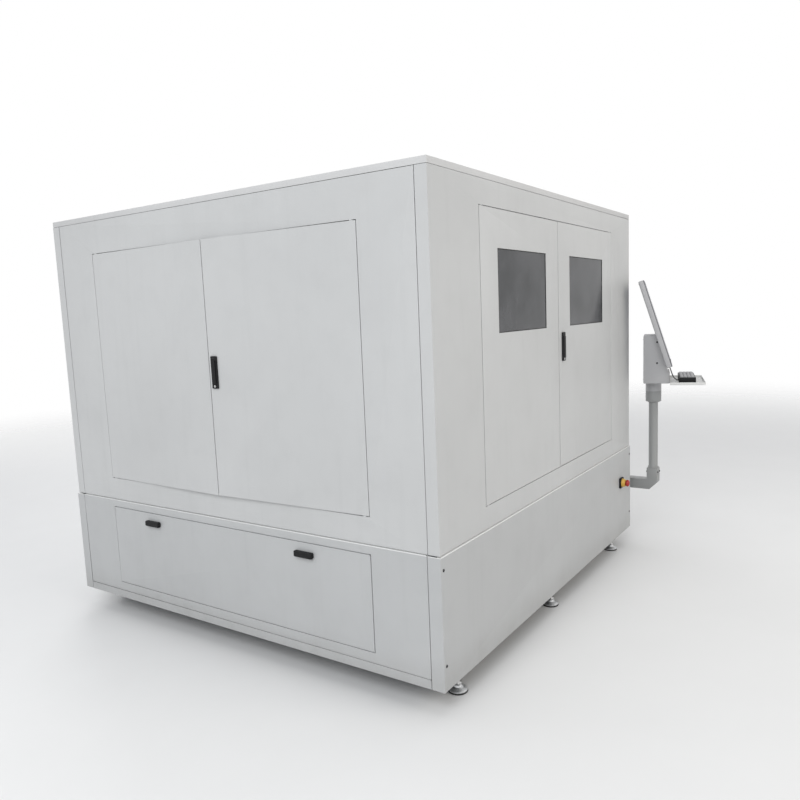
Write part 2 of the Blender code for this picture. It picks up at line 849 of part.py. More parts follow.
def add_drawer(parent):
    """The slag drawer: a folded front with an open tray behind it, and two pulls."""
    slide = new_empty("slag_drawer_slide", parent)
    width = side_door_width - 2 * seam_gap
    height = drawer_front_height - 2 * seam_gap
    bottom = cabinet_bottom + drawer_sill + seam_gap
    start = side_door_side + seam_gap
    place, turn = face_place("left", start, bottom, 0)
    drawer = add_piece("slag_drawer", folded_face(width, height, (panel_return,) * 4),
                       "white_paint", slide, place, turn)
    thicken(drawer)
    x0, x1 = panel_return / 2, drawer_length
    y0 = side_door_side + drawer_side_gap
    y1 = cabinet_depth - y0
    z0 = cabinet_bottom + base_tube + drawer_lift
    z1 = z0 + drawer_wall_height
    wall = 2 * sheet
    tray = [
        box((sheet / 2, y0, z0), (x1, y1, z0 + wall)),
        box((sheet / 2, y0, z0), (x1, y0 + wall, z1)),
        box((sheet / 2, y1 - wall, z0), (x1, y1, z1)),
        box((x1 - wall, y0, z0), (x1, y1, z1)),
        box((x0 + panel_return, y0 - drawer_flange, z1 - wall), (x1, y0 + wall, z1)),
        box((x0 + panel_return, y1 - wall, z1 - wall), (x1, y1 + drawer_flange, z1)),
    ]
    combine(drawer, "UNION", tray)
    middle = cabinet_depth / 2 + pull_shift
    top = cabinet_bottom + drawer_sill + drawer_front_height - pull_top_drop
    for name, y in (("front_drawer_pull", middle - pull_spacing / 2),
                    ("rear_drawer_pull", middle + pull_spacing / 2)):
        add_pull(name, y, top, slide)
    return z1 - wall


def add_pull(name, y, top, parent):
    """A hooded pull, open below, on the drawer's front."""
    outer = (-fit_gap - pull_depth, y - pull_width / 2, top - pull_height)
    pull = add_block(name, outer, (-fit_gap, y + pull_width / 2, top), "black_plastic", parent,
                     pull_wall * 2, 3)
    hollow = box((-fit_gap - pull_depth + pull_wall, y - pull_width / 2 + pull_wall,
                  top - pull_height - cut_overrun),
                 (-fit_gap - pull_wall, y + pull_width / 2 - pull_wall, top - pull_wall))
    combine(pull, "DIFFERENCE", [hollow])


def add_drawer_runners(flange_bottom, parent):
    """Two ledges on the bed's legs that the drawer's side flanges slide on."""
    y0 = side_door_side + drawer_side_gap
    top = flange_bottom - fit_gap
    x0 = bed_inset + (bed_width - base_tube) / 2
    x1 = right_bed + bed_width - (bed_width - base_tube) / 2
    front_leg = bed_start + base_tube
    rear_leg = bed_rear - base_tube
    inner = y0 - fit_gap
    far = cabinet_depth - inner
    for name, low_y, high_y, wall_y in (
            ("front_drawer_runner", front_leg + fit_gap, inner, front_leg + fit_gap),
            ("rear_drawer_runner", far, rear_leg - fit_gap, rear_leg - fit_gap - 2 * sheet)):
        add_frame(name, [((x0, low_y, top - 2 * sheet), (x1, high_y, top)),
                         ((x0, wall_y, top - runner_height), (x1, wall_y + 2 * sheet, top))],
                  "zinc_steel", parent)


def saw_tooth(length, height, tooth, depth):
    """A slat's outline: a flat bar with pointed teeth along its top."""
    count = max(2, round(length / tooth))
    pitch = length / count
    points = [(0, 0), (length, 0), (length, height - depth)]
    for index in range(count, 0, -1):
        points.append(((index - 0.5) * pitch, height))
        points.append(((index - 1) * pitch, height - depth))
    return points


def plate(points, thickness, place, flat=(1, 2), across=0):
    """A plate from an outline in one plane, made thick across it."""
    bm = bmesh.new()
    verts = []
    for first, second in points:
        position = Vector(place)
        position[flat[0]] += first
        position[flat[1]] += second
        position[across] -= thickness / 2
        verts.append(bm.verts.new(position))
    face = bm.faces.new(verts)
    push = Vector((0, 0, 0))
    push[across] = thickness
    made = bmesh.ops.extrude_face_region(bm, geom=[face])["geom"]
    bmesh.ops.translate(bm, verts=[v for v in made if isinstance(v, bmesh.types.BMVert)], vec=push)
    bmesh.ops.recalc_face_normals(bm, faces=bm.faces[:])
    return bm


def add_table(parent):
    """The cutting table: saw-toothed slats held on edge between two combs."""
    front, rear = bearer_rows()
    y0, y1 = front + comb_thickness, rear + bearer_width - comb_thickness
    low = bed_bottom + bearer_height + fit_gap
    x0, x1 = table_side, cabinet_width - table_side
    frame = add_piece("cutting_table", box((x0, y0, low), (x1, y0 + comb_thickness,
                                                           low + comb_height)),
                      "mill_steel", parent)
    shapes = [box((x0, y1 - comb_thickness, low), (x1, y1, low + comb_height))]
    for x in (x0, x1 - comb_thickness):
        shapes.append(box((x, y0, low), (x + comb_thickness, y1, low + comb_height)))
    pitch = (x1 - x0 - comb_thickness) / (slat_count + 1)
    length = y1 - y0 - comb_thickness
    outline = saw_tooth(length, slat_height, slat_tooth, slat_tooth_depth)
    for index in range(slat_count):
        x = x0 + comb_thickness / 2 + (index + 1) * pitch
        shapes.append(plate(outline, slat_thickness,
                            (x, y0 + comb_thickness / 2, slat_top - slat_height)))
    combine(frame, "UNION", shapes)


def add_guide(name, x, parent):
    low = bed_top + fit_gap
    add_block(name, (x - rail_width / 2, rail_start, low),
              (x + rail_width / 2, rail_start + rail_length, low + rail_height), "bright_steel",
              parent)


def rack_outline(side):
    """A toothed rack's outline from above, with flat-topped teeth to one side."""
    count = round(rail_length / rack_tooth_pitch)
    pitch = rail_length / count
    points = [(0, 0), (rail_length, 0)]
    for index in range(count, 0, -1):
        for along, depth in ((0.0, rack_tooth_depth), (0.3, 0), (0.6, 0)):
            points.append(((index - along) * pitch, side * (rack_width - depth)))
    points.append((0, side * (rack_width - rack_tooth_depth)))
    return points


def add_guides(parent):
    low = bed_top + fit_gap
    for name, x, side in (("left", bed_inset + bed_width / 2, 1),
                          ("right", right_bed + bed_width / 2, -1)):
        add_guide(name + "_guide_rail", x, parent)
        place = (x + side * (rack_offset - rack_width / 2), rail_start, low + rack_height / 2)
        rack = plate(rack_outline(side), rack_height, place, flat=(1, 0), across=2)
        add_piece(name + "_rack", rack, "bright_steel", parent)


def add_gantry(parent):
    """The gantry beam on its end blocks, its motors and its two cross rails."""
    slide = new_empty("gantry_travel", parent, (0, gantry_place, 0))
    rail_top = bed_top + fit_gap + rail_height
    block_top = rail_top + fit_gap + block_height
    left = bed_inset + bed_width / 2
    right = right_bed + bed_width / 2
    x0, x1 = left - end_plate_width / 2, right + end_plate_width / 2
    y0 = beam_depth + fit_gap + motor_width - end_plate_length
    plate_top = block_top + end_plate_thickness
    beam_top = beam_bottom + beam_height
    bars = [((x0, 0, beam_bottom), (x1, beam_depth, beam_top))]
    for x, inward in ((left, 1), (right, -1)):
        lip_in = rail_width / 2 + fit_gap
        for y in (y0, y0 + end_plate_length - block_length):
            bars.append(((x - block_width / 2, y, rail_top + fit_gap),
                         (x + block_width / 2, y + block_length, block_top + sheet)))
            for side in (-1, 1):
                edges = sorted((x + side * lip_in, x + side * block_width / 2))
                bars.append(((edges[0], y, rail_top - block_lip),
                             (edges[1], y + block_length, block_top - sheet)))
        sides = sorted((x - inward * end_plate_width / 2, x + inward * end_plate_reach))
        bars.append(((sides[0], y0, block_top), (sides[1], y0 + end_plate_length, plate_top)))
        bars.append(((x - block_width / 2, post_inset, plate_top - sheet),
                     (x + block_width / 2, beam_depth - post_inset, beam_bottom + sheet)))
    beam = add_frame("gantry_beam", bars, "beam_metal", slide)
    hollow_x = (left + block_width, right - block_width)
    hollow = box((hollow_x[0], beam_wall, beam_bottom + beam_wall),
                 (hollow_x[1], beam_depth + cut_overrun, beam_top - beam_wall))
    motor_y = beam_depth + fit_gap + motor_width / 2
    motors = {"left_gantry_motor": left + pinion_offset, "right_gantry_motor": right - pinion_offset}
    bores = [rod(shaft_radius + shaft_clearance, (x, motor_y, block_top - cut_overrun),
                 (x, motor_y, plate_top + cut_overrun)) for x in motors.values()]
    combine(beam, "DIFFERENCE", [hollow, *bores])
    for name, x in motors.items():
        motor = add_motor(name, (x, motor_y, plate_top + fit_gap), slide)
        add_pinion(motor, x, motor_y, plate_top + reducer_length / 2)
    for name, z in (("lower_cross_rail", beam_bottom + cross_rail_drop),
                    ("upper_cross_rail", beam_top - cross_rail_drop)):
        add_block(name, (left + block_width, -fit_gap - rail_height, z - rail_width / 2),
                  (right - block_width, -fit_gap, z + rail_width / 2), "bright_steel", slide)
    return slide


def add_motor(name, foot, parent):
    """An upright servo motor over its reducer."""
    x, y, z = foot
    half = motor_width / 2
    low = z + reducer_length
    motor = add_block(name, (x - half, y - half, low), (x + half, y + half, low + motor_length),
                      "dark_metal", parent, motor_rounding)
    combine(motor, "UNION", [rod(reducer_radius, (x, y, z), (x, y, low + motor_rounding * 2))])
    return motor


def add_pinion(motor, x, y, shaft_top):
    """A motor's shaft, through the end plate, and its pinion beside the rack."""
    low = bed_top + rack_clearance
    combine(motor, "UNION", [
        rod(shaft_radius, (x, y, low + rack_height / 2), (x, y, shaft_top)),
        rod(pinion_radius, (x, y, low), (x, y, low + rack_height - rack_clearance))])


def add_carriage(gantry):
    """The carriage that crosses the beam, with the guides for the head's slide."""
    travel = new_empty("carriage_travel", gantry, (carriage_place, 0, 0))
    rail_face = -fit_gap - rail_height
    block_face = rail_face - fit_gap - block_height
    half = carriage_width / 2
    bars = [((-half, block_face - carriage_thickness, carriage_bottom),
             (half, block_face, carriage_top))]
    for z in (beam_bottom + cross_rail_drop, beam_bottom + beam_height - cross_rail_drop):
        lip_in = rail_width / 2 + fit_gap
        for x in (-half, half - block_length):
            bars.append(((x, block_face - sheet, z - block_width / 2),
                         (x + block_length, rail_face - fit_gap, z + block_width / 2)))
            for side in (-1, 1):
                edges = sorted((z + side * lip_in, z + side * block_width / 2))
                bars.append(((x, block_face + sheet, edges[0]),
                             (x + block_length, rail_face + block_lip, edges[1])))
    front = block_face - carriage_thickness
    for x in (-lift_rail_spacing / 2, lift_rail_spacing / 2):
        bars.append(((x - lift_rail_width / 2, front - lift_rail_depth, carriage_bottom),
                     (x + lift_rail_width / 2, front + sheet, carriage_top)))
    motor_y = front + motor_width / 2
    bars.append(((-motor_width / 2, front, carriage_top - motor_shelf),
                 (motor_width / 2, front + motor_width, carriage_top)))
    add_frame("carriage", bars, "beam_metal", travel)
    add_motor("head_lift_motor", (0, motor_y, carriage_top + fit_gap), travel)
    return travel, front


def add_head(carriage, front):
    """The lifting slide, the cutting head that it clamps and the copper nozzle."""
    lift = new_empty("head_lift", carriage)
    half = head_slide_width / 2
    back = front - lift_rail_depth - fit_gap
    face = back - head_slide_thickness
    z0, z1 = carriage_top - head_slide_height, carriage_top
    bars = [((-half, face, z0), (half, back, z1))]
    for x in (-lift_rail_spacing / 2, lift_rail_spacing / 2):
        lip_in = lift_rail_width / 2 + fit_gap
        for side in (-1, 1):
            edges = sorted((x + side * lip_in, x + side * (lip_in + block_lip)))
            bars.append(((edges[0], face, z0),
                         (edges[1], front - fit_gap * 2, z0 + head_block_height)))
    head_y = face - head_body_radius - head_clamp_depth / 2
    for z in (z0, z1 - head_clamp_height):
        bars.append(((-head_body_radius - sheet, head_y, z),
                     (head_body_radius + sheet, face + sheet, z + head_clamp_height)))
    slide = add_frame("head_slide", bars, "beam_metal", lift)
    bore = rod(head_body_radius + fit_gap, (0, head_y, z0 - cut_overrun),
               (0, head_y, z1 + cut_overrun), sides=24)
    combine(slide, "DIFFERENCE", [bore])
    tip = slat_top + nozzle_clearance
    neck = tip + nozzle_length + fit_gap
    top = neck + head_length
    add_turned("cutting_head", [
        (0, top), (head_fiber_radius, top), (head_fiber_radius, z1 + head_fiber_radius),
        (head_body_radius, z1 + head_fiber_radius / 2), (head_body_radius, z0 - head_neck_radius),
        (head_neck_radius, z0 - head_body_radius), (head_neck_radius, neck), (0, neck)],
        "silver_paint", lift, (0, head_y, 0), sides=24)
    add_turned("nozzle", [
        (0, neck - fit_gap), (nozzle_radius, neck - fit_gap),
        (nozzle_radius, tip + nozzle_length / 2), (nozzle_tip_radius, tip), (0, tip)],
        "copper", lift, (0, head_y, 0), sides=20)


def add_fume_outlet(parent):
    """A flanged duct collar on the rear, for the fume hose."""
    start = fit_gap
    outer, bore = fume_radius - fit_gap, fume_radius - fit_gap - fume_wall
    back = -fume_length / 2
    front = fume_length
    profile = [
        (bore, front), (outer, front), (outer, start + fume_flange_thickness),
        (fume_flange_radius, start + fume_flange_thickness), (fume_flange_radius, start),
        (outer, start), (outer, back), (bore, back), (bore, front)]
    add_turned("fume_outlet", profile, "zinc_steel", parent,
               (fume_place, cabinet_depth - upper_inset, cabinet_bottom + fume_height),
               sides=fume_sides, tilt=math.radians(-90))


def add_power_inlet(parent):
    """A gland plate on the rear lower panel."""
    x = cabinet_width - inlet_side
    low = cabinet_bottom + inlet_bottom
    y = cabinet_depth + fit_gap
    plate_piece = add_block("power_inlet", (x - inlet_width / 2, y, low),
                            (x + inlet_width / 2, y + inlet_thickness, low + inlet_height),
                            "zinc_steel", parent)
    middle = low + inlet_height / 2
    spots = [x + side * inlet_width / 4 for side in (-1, 1)]
    combine(plate_piece, "UNION", [
        rod(inlet_gland_radius, (spot, y + inlet_thickness / 2, middle),
            (spot, y + inlet_thickness + inlet_gland_length, middle)) for spot in spots])
    combine(plate_piece, "DIFFERENCE", [
        rod(inlet_bore_radius, (spot, y - cut_overrun, middle),
            (spot, y + inlet_gland_length + cut_overrun, middle)) for spot in spots])


def add_emergency_stop(parent):
    """The emergency stop: a flat black box, a collar on it and a red push button."""
    z = cabinet_bottom + stop_height
    back = -fit_gap
    face = back - stop_box_depth
    half, tall = stop_box_width / 2, stop_box_height / 2
    station = add_block("emergency_stop_box", (stop_place - half, face, z - tall),
                        (stop_place + half, back, z + tall), "black_plastic", parent,
                        stop_box_rounding)
    collar_face = face - stop_collar_length
    combine(station, "UNION", [
        rod(stop_collar_foot_radius, (stop_place, face + stop_box_rounding, z),
            (stop_place, collar_face, z), 24, stop_collar_radius)])
    well = stop_collar_length + stop_travel
    combine(station, "DIFFERENCE", [
        rod(stop_stem_radius + fit_gap, (stop_place, collar_face - cut_overrun, z),
            (stop_place, collar_face + well, z), sides=20)])
    press = new_empty("emergency_stop_press", parent, (stop_place, collar_face, z))
    gap = stop_travel + fit_gap
    add_turned("emergency_stop_button", [
        (0, gap + stop_head_length), (stop_head_radius * 0.7, gap + stop_head_length),
        (stop_head_radius, gap + stop_head_length / 2), (stop_head_radius, gap),
        (stop_stem_radius, gap), (stop_stem_radius, -stop_collar_length / 2),
        (0, -stop_collar_length / 2)], "red_plastic", press, sides=24, tilt=math.radians(90))


def add_console_stand(parent):
    """The arm on the cabinet's right side and the column that carries the console."""
    x = cabinet_width + console_offset
    y = -console_front
    low = cabinet_bottom + arm_bottom
    high = low + arm_height
    half = arm_width / 2
    nose, heel = y - elbow_depth / 2, y + elbow_depth / 2
    back = arm_reach_back
    top = high + elbow_rise
    outline = [(nose, top), (nose, low + arm_chamfer), (nose + arm_chamfer, low), (back, low),
               (back, high), (heel, high), (heel, top)]
    tube = plate(outline, arm_width, (x, 0, 0))
    bmesh.ops.bevel(tube, geom=tube.edges[:], offset=arm_rounding, segments=2, profile=0.5,
                    affect="EDGES")
    arm = add_piece("console_arm", tube, "grey_paint", parent, smooth=True)
    wall = cabinet_width + fit_gap
    starts = (corner_fold + seam_gap, back - arm_bracket_length - arm_bracket_inset)
    combine(arm, "UNION", [
        box((wall, start, low + arm_bracket_inset),
            (x - half + sheet, start + arm_bracket_length, high - arm_bracket_inset))
        for start in starts])
    foot = top + fit_gap
    top = cabinet_bottom + column_top
    socket_top = top + socket_height
    add_turned("console_column", [
        (0, socket_top), (socket_radius, socket_top), (socket_radius, top), (column_radius, top),
        (column_radius, foot + collar_height), (collar_radius, foot + collar_height),
        (collar_radius, foot), (0, foot)], "grey_paint", parent, (x, y, 0), sides=24)
    return (x, y, 0), socket_top + fit_gap


def add_console(parent, axis_place, swivel_bottom):
    """The swivelling console: box, monitor, keyboard tray, keyboard and its short lead."""
    head = new_empty("console_swivel", parent, axis_place, console_swivel)
    box_bottom = swivel_bottom + swivel_height
    back = console_box_back
    front = back - console_box_depth
    half = console_box_width / 2
    housing = add_block("console_box", (-half, front, box_bottom),
                        (half, back, box_bottom + console_box_height), "silver_paint", head,
                        console_box_rounding)
    combine(housing, "UNION", [rod(swivel_radius, (0, 0, swivel_bottom),
                                   (0, 0, box_bottom + console_box_rounding), sides=24)])
    foot = cabinet_bottom + monitor_foot_height
    slope = math.tan(monitor_tilt)
    upright = (box_bottom + console_box_height - foot)
    notch_back = -monitor_foot_depth + fit_gap / math.cos(monitor_tilt)
    low_z = foot - monitor_thickness
    cut_high = foot + upright + cut_overrun
    wedge = plate([(notch_back - (foot - low_z) * slope, low_z),
                   (notch_back + (cut_high - foot) * slope, cut_high),
                   (front - cut_overrun - console_box_depth, cut_high),
                   (front - cut_overrun - console_box_depth, low_z)],
                  console_box_width * 2, (0, 0, 0))
    combine(housing, "DIFFERENCE", [wedge])
    add_monitor(head, foot)
    add_tray(head, box_bottom, front)


def add_monitor(head, foot):
    """The tilted monitor, whose back rests on the console box."""
    tilt = new_empty("monitor_tilt", head, (0, -monitor_foot_depth, foot))
    tilt.rotation_euler = (-monitor_tilt, 0, 0)
    half = monitor_width / 2
    monitor = add_block("monitor", (-half, -monitor_thickness, 0), (half, 0, monitor_length),
                        "silver_paint", tilt, monitor_rounding, 3)
    recess = box((-half + bezel_width, -monitor_thickness - cut_overrun, bezel_width),
                 (half - bezel_width, bezel_recess - monitor_thickness,
                  monitor_length - bezel_width))
    combine(monitor, "DIFFERENCE", [recess])


def add_tray(head, box_bottom, front):
    """The keyboard tray, an open folded tray in front of the console box."""
    half = tray_width / 2
    y1 = front - fit_gap
    y0 = y1 - tray_depth
    low = box_bottom
    bm = box((-half, y0, low), (half, y1, low + tray_rim))
    top = [face for face in bm.faces if face.normal.z > 0.5]
    bmesh.ops.delete(bm, geom=top, context="FACES")
    tray = add_piece("keyboard_tray", bm, "white_paint", head)
    thicken(tray)
    floor = low + sheet + fit_gap
    k1 = y1 - keyboard_set_back
    k0 = k1 - keyboard_depth
    wide = keyboard_width / 2
    rise = floor + keyboard_height
    keyboard = add_block("keyboard", (-wide, k0, floor), (wide, k1, rise), "black_plastic", head,
                         keyboard_rounding)
    combine(keyboard, "UNION", key_caps(-wide, k0, rise))
    add_lead(head, -wide + lead_side, k1, floor + keyboard_height / 2)


def key_caps(left, near, top):
    """The rows of keys on the keyboard."""
    wide = (keyboard_width - 2 * key_border) / key_columns
    deep = (keyboard_depth - 2 * key_border) / key_rows
    caps = []
    for column in range(key_columns):
        for row in range(key_rows):
            x = left + key_border + column * wide + key_gap / 2
            y = near + key_border + row * deep + key_gap / 2
            caps.append(box((x, y, top - key_rise), (x + wide - key_gap, y + deep - key_gap,
                                                     top + key_rise)))
    return caps


def add_lead(head, x, keyboard_back, height):
    """The keyboard's short lead, from the monitor's foot down to the back of the keyboard."""
    down = Vector((0, -math.sin(monitor_tilt), -math.cos(monitor_tilt)))
    forward = Vector((0, -math.cos(monitor_tilt), math.sin(monitor_tilt)))
    foot = Vector((x, -monitor_foot_depth, cabinet_bottom + monitor_foot_height))
    start = foot + forward * monitor_thickness / 2 + down * fit_gap
    end = Vector((x, keyboard_back + fit_gap, height))
    curve = bpy.data.curves.new("keyboard_lead", "CURVE")
    curve.dimensions = "3D"
    curve.bevel_depth = lead_radius
    curve.bevel_resolution = 2
    curve.resolution_u = 4
    curve.use_fill_caps = True
    spline = curve.splines.new("BEZIER")
    places = (start, start + down * lead_stub, end + Vector((0, lead_stub, 0)), end)
    spline.bezier_points.add(len(places) - 1)
    for point, place in zip(spline.bezier_points, places):
        point.co = place
        point.handle_left_type = point.handle_right_type = "AUTO"
    lead = bpy.data.objects.new("keyboard_lead", curve)
    lead.parent = head
    pieces.objects.link(lead)
    curve.materials.append(new_material("keyboard_lead", "black_plastic"))


def centre_machine(machine):
    """Move the machine so that the middle of its box stands over the origin."""
    bpy.context.view_layer.update()
    graph = bpy.context.evaluated_depsgraph_get()
    lows, highs = [], []
    for piece in pieces.objects:
        if piece.type == "EMPTY":
            continue
        evaluated = piece.evaluated_get(graph)
        mesh = evaluated.to_mesh()
        corners = [evaluated.matrix_world @ vert.co for vert in mesh.vertices]
        lows.append([min(corner[axis] for corner in corners) for axis in range(2)])
        highs.append([max(corner[axis] for corner in corners) for axis in range(2)])
        evaluated.to_mesh_clear()
    for axis in range(2):
        low = min(corner[axis] for corner in lows)
        high = max(corner[axis] for corner in highs)
        machine.location[axis] = -(low + high) / 2
    bpy.context.view_layer.update()


def build_machine():
    machine = new_empty("machine", None)
    add_bed_frame(machine)
    add_enclosure_frame(machine)
    add_feet(machine)
    add_lower_panels(machine)
    add_upper_panels(machine)
    add_roof(machine)
    add_doors(machine)
    flange_bottom = add_drawer(machine)
    add_drawer_runners(flange_bottom, machine)
    add_table(machine)
    add_guides(machine)
    gantry = add_gantry(machine)
    carriage, front = add_carriage(gantry)
    add_head(carriage, front)
    add_fume_outlet(machine)
    add_power_inlet(machine)
    add_emergency_stop(machine)
    axis_place, swivel_bottom = add_console_stand(machine)
    add_console(machine, axis_place, swivel_bottom)
    centre_machine(machine)


build_machine()
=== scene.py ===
import json
import math
from itertools import product

import bmesh
import bpy
from mathutils import Matrix, Vector


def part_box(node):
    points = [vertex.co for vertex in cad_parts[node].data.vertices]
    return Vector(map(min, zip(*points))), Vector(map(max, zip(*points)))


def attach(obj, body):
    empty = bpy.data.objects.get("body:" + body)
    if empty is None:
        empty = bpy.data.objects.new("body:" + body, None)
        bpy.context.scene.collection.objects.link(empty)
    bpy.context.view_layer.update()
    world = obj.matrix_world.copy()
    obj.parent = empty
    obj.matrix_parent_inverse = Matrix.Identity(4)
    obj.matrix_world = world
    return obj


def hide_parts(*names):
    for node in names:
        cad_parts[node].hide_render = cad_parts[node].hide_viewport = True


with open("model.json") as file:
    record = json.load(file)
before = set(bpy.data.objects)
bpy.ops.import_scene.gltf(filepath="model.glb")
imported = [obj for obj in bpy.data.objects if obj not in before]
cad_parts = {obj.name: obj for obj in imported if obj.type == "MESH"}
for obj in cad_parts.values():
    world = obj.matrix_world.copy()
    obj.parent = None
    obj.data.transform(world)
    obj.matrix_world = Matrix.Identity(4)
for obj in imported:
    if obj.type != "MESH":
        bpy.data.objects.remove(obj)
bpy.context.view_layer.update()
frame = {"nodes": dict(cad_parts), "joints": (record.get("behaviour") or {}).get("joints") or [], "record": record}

nodes = frame["nodes"]
joints = {joint["name"]: joint for joint in frame["joints"]}
bodies = frame["record"]["behaviour"]["bodies"]
node_body = {node: body for body, names in bodies.items() for node in names}

# The cabinet, and its front left corner on the floor
base_low, base_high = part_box("front_lower_panel")
corner = Vector((base_low.x, base_low.y, 0))
base_bottom, base_top = base_low.z, base_high.z
roof_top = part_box("roof_panel")[1].z
cabinet_right = base_high.x
cabinet_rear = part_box("rear_lower_panel")[1].y
cabinet_width, cabinet_depth = cabinet_right - corner.x, cabinet_rear - corner.y

# Sheet metal and doors
sheet = 0.002
bend_radius = 0.0022
upper_inset = 0.005
fit_gap = 0.0003
door_gap = 0.003
hinge_edge = 0.022
hinge_depth = 0.008
front_leaf = 0.7845
side_leaf = 0.7935
side_ajar = math.radians(1.8)

# The console on its column
console_turn = math.radians(14.4)
monitor_tilt = math.radians(17.5)
monitor_foot = (0, -0.073, 1.096)

# Directions
left, right, front, rear, up = (-1, 0, 0), (1, 0, 0), (0, -1, 0), (0, 1, 0), (0, 0, 1)
upright_to_front = Matrix.Rotation(math.radians(90), 4, "X")


def spot(x, y, z):
    """A point given from the cabinet's front left corner on the floor."""
    return corner + Vector((x, y, z))


def turned_place(place, turn):
    return Matrix.Translation(place) @ Matrix.Rotation(turn, 4, "Z")


def face_place(face):
    """A cabinet face: X from its left edge as seen from outside, Y inwards, Z up."""
    place, turn = {
        "front": ((0, 0, 0), 0),
        "left": ((0, cabinet_depth, 0), -90),
        "rear": ((cabinet_width, cabinet_depth, 0), 180),
    }[face]
    return turned_place(spot(*place), math.radians(turn))


# Each door's turn at rest, its width, and whether its hinges are on the right
leaves = {
    "front_left_door": (0, front_leaf, False),
    "front_right_door": (0, front_leaf, True),
    "side_rear_door": (math.radians(-90) - side_ajar, side_leaf, False),
    "side_front_door": (math.radians(-90) + side_ajar, side_leaf, True),
}


def leaf_place(door):
    """A door's outer face: X from its left edge as seen from outside, Y inwards, Z up."""
    turn, leaf, on_right = leaves[door]
    hinge = Vector(joints[door + "_hinge"]["pos_m"])
    edge = leaf - hinge_edge if on_right else hinge_edge
    return turned_place((hinge.x, hinge.y, 0), turn) @ Matrix.Translation((-edge, -hinge_depth, 0))


column = Vector(joints["console_swivel"]["pos_m"])
console_place = turned_place((column.x, column.y, 0), console_turn)
monitor_place = (console_place @ Matrix.Translation(monitor_foot)
                 @ Matrix.Rotation(-monitor_tilt, 4, "X"))


class Number:
    """One value in a node tree, so that Python's own operators add the Math nodes."""

    def __init__(self, tree, socket):
        self.tree = tree
        self.socket = socket

    def math(self, operation, *values):
        sockets = dict(enumerate((self, *values)))
        return self.tree.node("ShaderNodeMath", {"operation": operation}, sockets)

    def __add__(self, other):
        return self.math("ADD", other)

    def __mul__(self, other):
        return self.math("MULTIPLY", other)

    def __sub__(self, other):
        return self.math("SUBTRACT", other)

    def __rsub__(self, other):
        return (self * -1) + other

    __radd__ = __add__
    __rmul__ = __mul__

    def step(self, low, high):
        """0 below low and 1 above high, turning smoothly between."""
        sockets = {"Value": self, "From Min": low, "From Max": high}
        settings = {"interpolation_type": "SMOOTHSTEP"}
        return self.tree.node("ShaderNodeMapRange", settings, sockets)

    def range(self, low, high):
        """The value from 0 to 1 as one from low to high."""
        sockets = {"Value": self, "To Min": low, "To Max": high}
        return self.tree.node("ShaderNodeMapRange", {}, sockets)


class Tree:
    """A node tree that is built node by node."""

    def __init__(self, owner):
        owner.use_nodes = True
        self.nodes = owner.node_tree.nodes
        self.links = owner.node_tree.links

    def node(self, kind, settings, sockets, output=0):
        made = self.nodes.new(kind)
        for name, value in settings.items():
            setattr(made, name, value)
        for name, value in sockets.items():
            self.join(value, made.inputs[name])
        return Number(self, made.outputs[output])

    def outputs(self, number, names):
        """Several outputs of the node that a value comes from."""
        return [Number(self, number.socket.node.outputs[name]) for name in names]

    def join(self, value, socket):
        if isinstance(value, Number):
            self.links.new(value.socket, socket)
        elif socket.type == "RGBA":
            socket.default_value = (*value, 1)
        else:
            socket.default_value = value

    def blend(self, factor, first, second):
        """A colour between two others."""
        sockets = {0: factor, 6: first, 7: second}
        return self.node("ShaderNodeMix", {"data_type": "RGBA"}, sockets, 2)


class Finish(Tree):
    """A material that is built from nodes."""

    def __init__(self, name):
        self.material = bpy.data.materials.new(name)
        super().__init__(self.material)
        self.shader = self.nodes["Principled BSDF"]
        self.place = self.node("ShaderNodeTexCoord", {}, {}, "Object")

    def set(self, **sockets):
        names = {"colour": "Base Color", "roughness": "Roughness", "metal": "Metallic",
                 "coat": "Coat Weight", "alpha": "Alpha", "normal": "Normal",
                 "shine": "Specular IOR Level"}
        for name, value in sockets.items():
            self.join(value, self.shader.inputs[names[name]])
        return self.material

    def axes(self):
        split = self.node("ShaderNodeSeparateXYZ", {}, {"Vector": self.place}, "X")
        return self.outputs(split, "XYZ")

    def noise(self, scale, detail=3.0, roughness=0.55, stretch=None):
        place = self.place
        if stretch:
            place = self.node("ShaderNodeMapping", {}, {"Vector": place, "Scale": stretch})
        sockets = {"Vector": place, "Scale": scale, "Detail": detail, "Roughness": roughness}
        return self.node("ShaderNodeTexNoise", {}, sockets)

    def bump(self, height, distance, strength=1.0):
        sockets = {"Height": height, "Distance": distance, "Strength": strength}
        return self.node("ShaderNodeBump", {}, sockets)


def near_planes(finish, planes):
    """How far a point is from the nearest of several (axis, value) planes, in metres."""
    axes = finish.axes()
    gaps = [(axes[axis] - value).math("ABSOLUTE") for axis, value in planes]
    nearest = gaps[0]
    for gap in gaps[1:]:
        nearest = nearest.math("MINIMUM", gap)
    return nearest


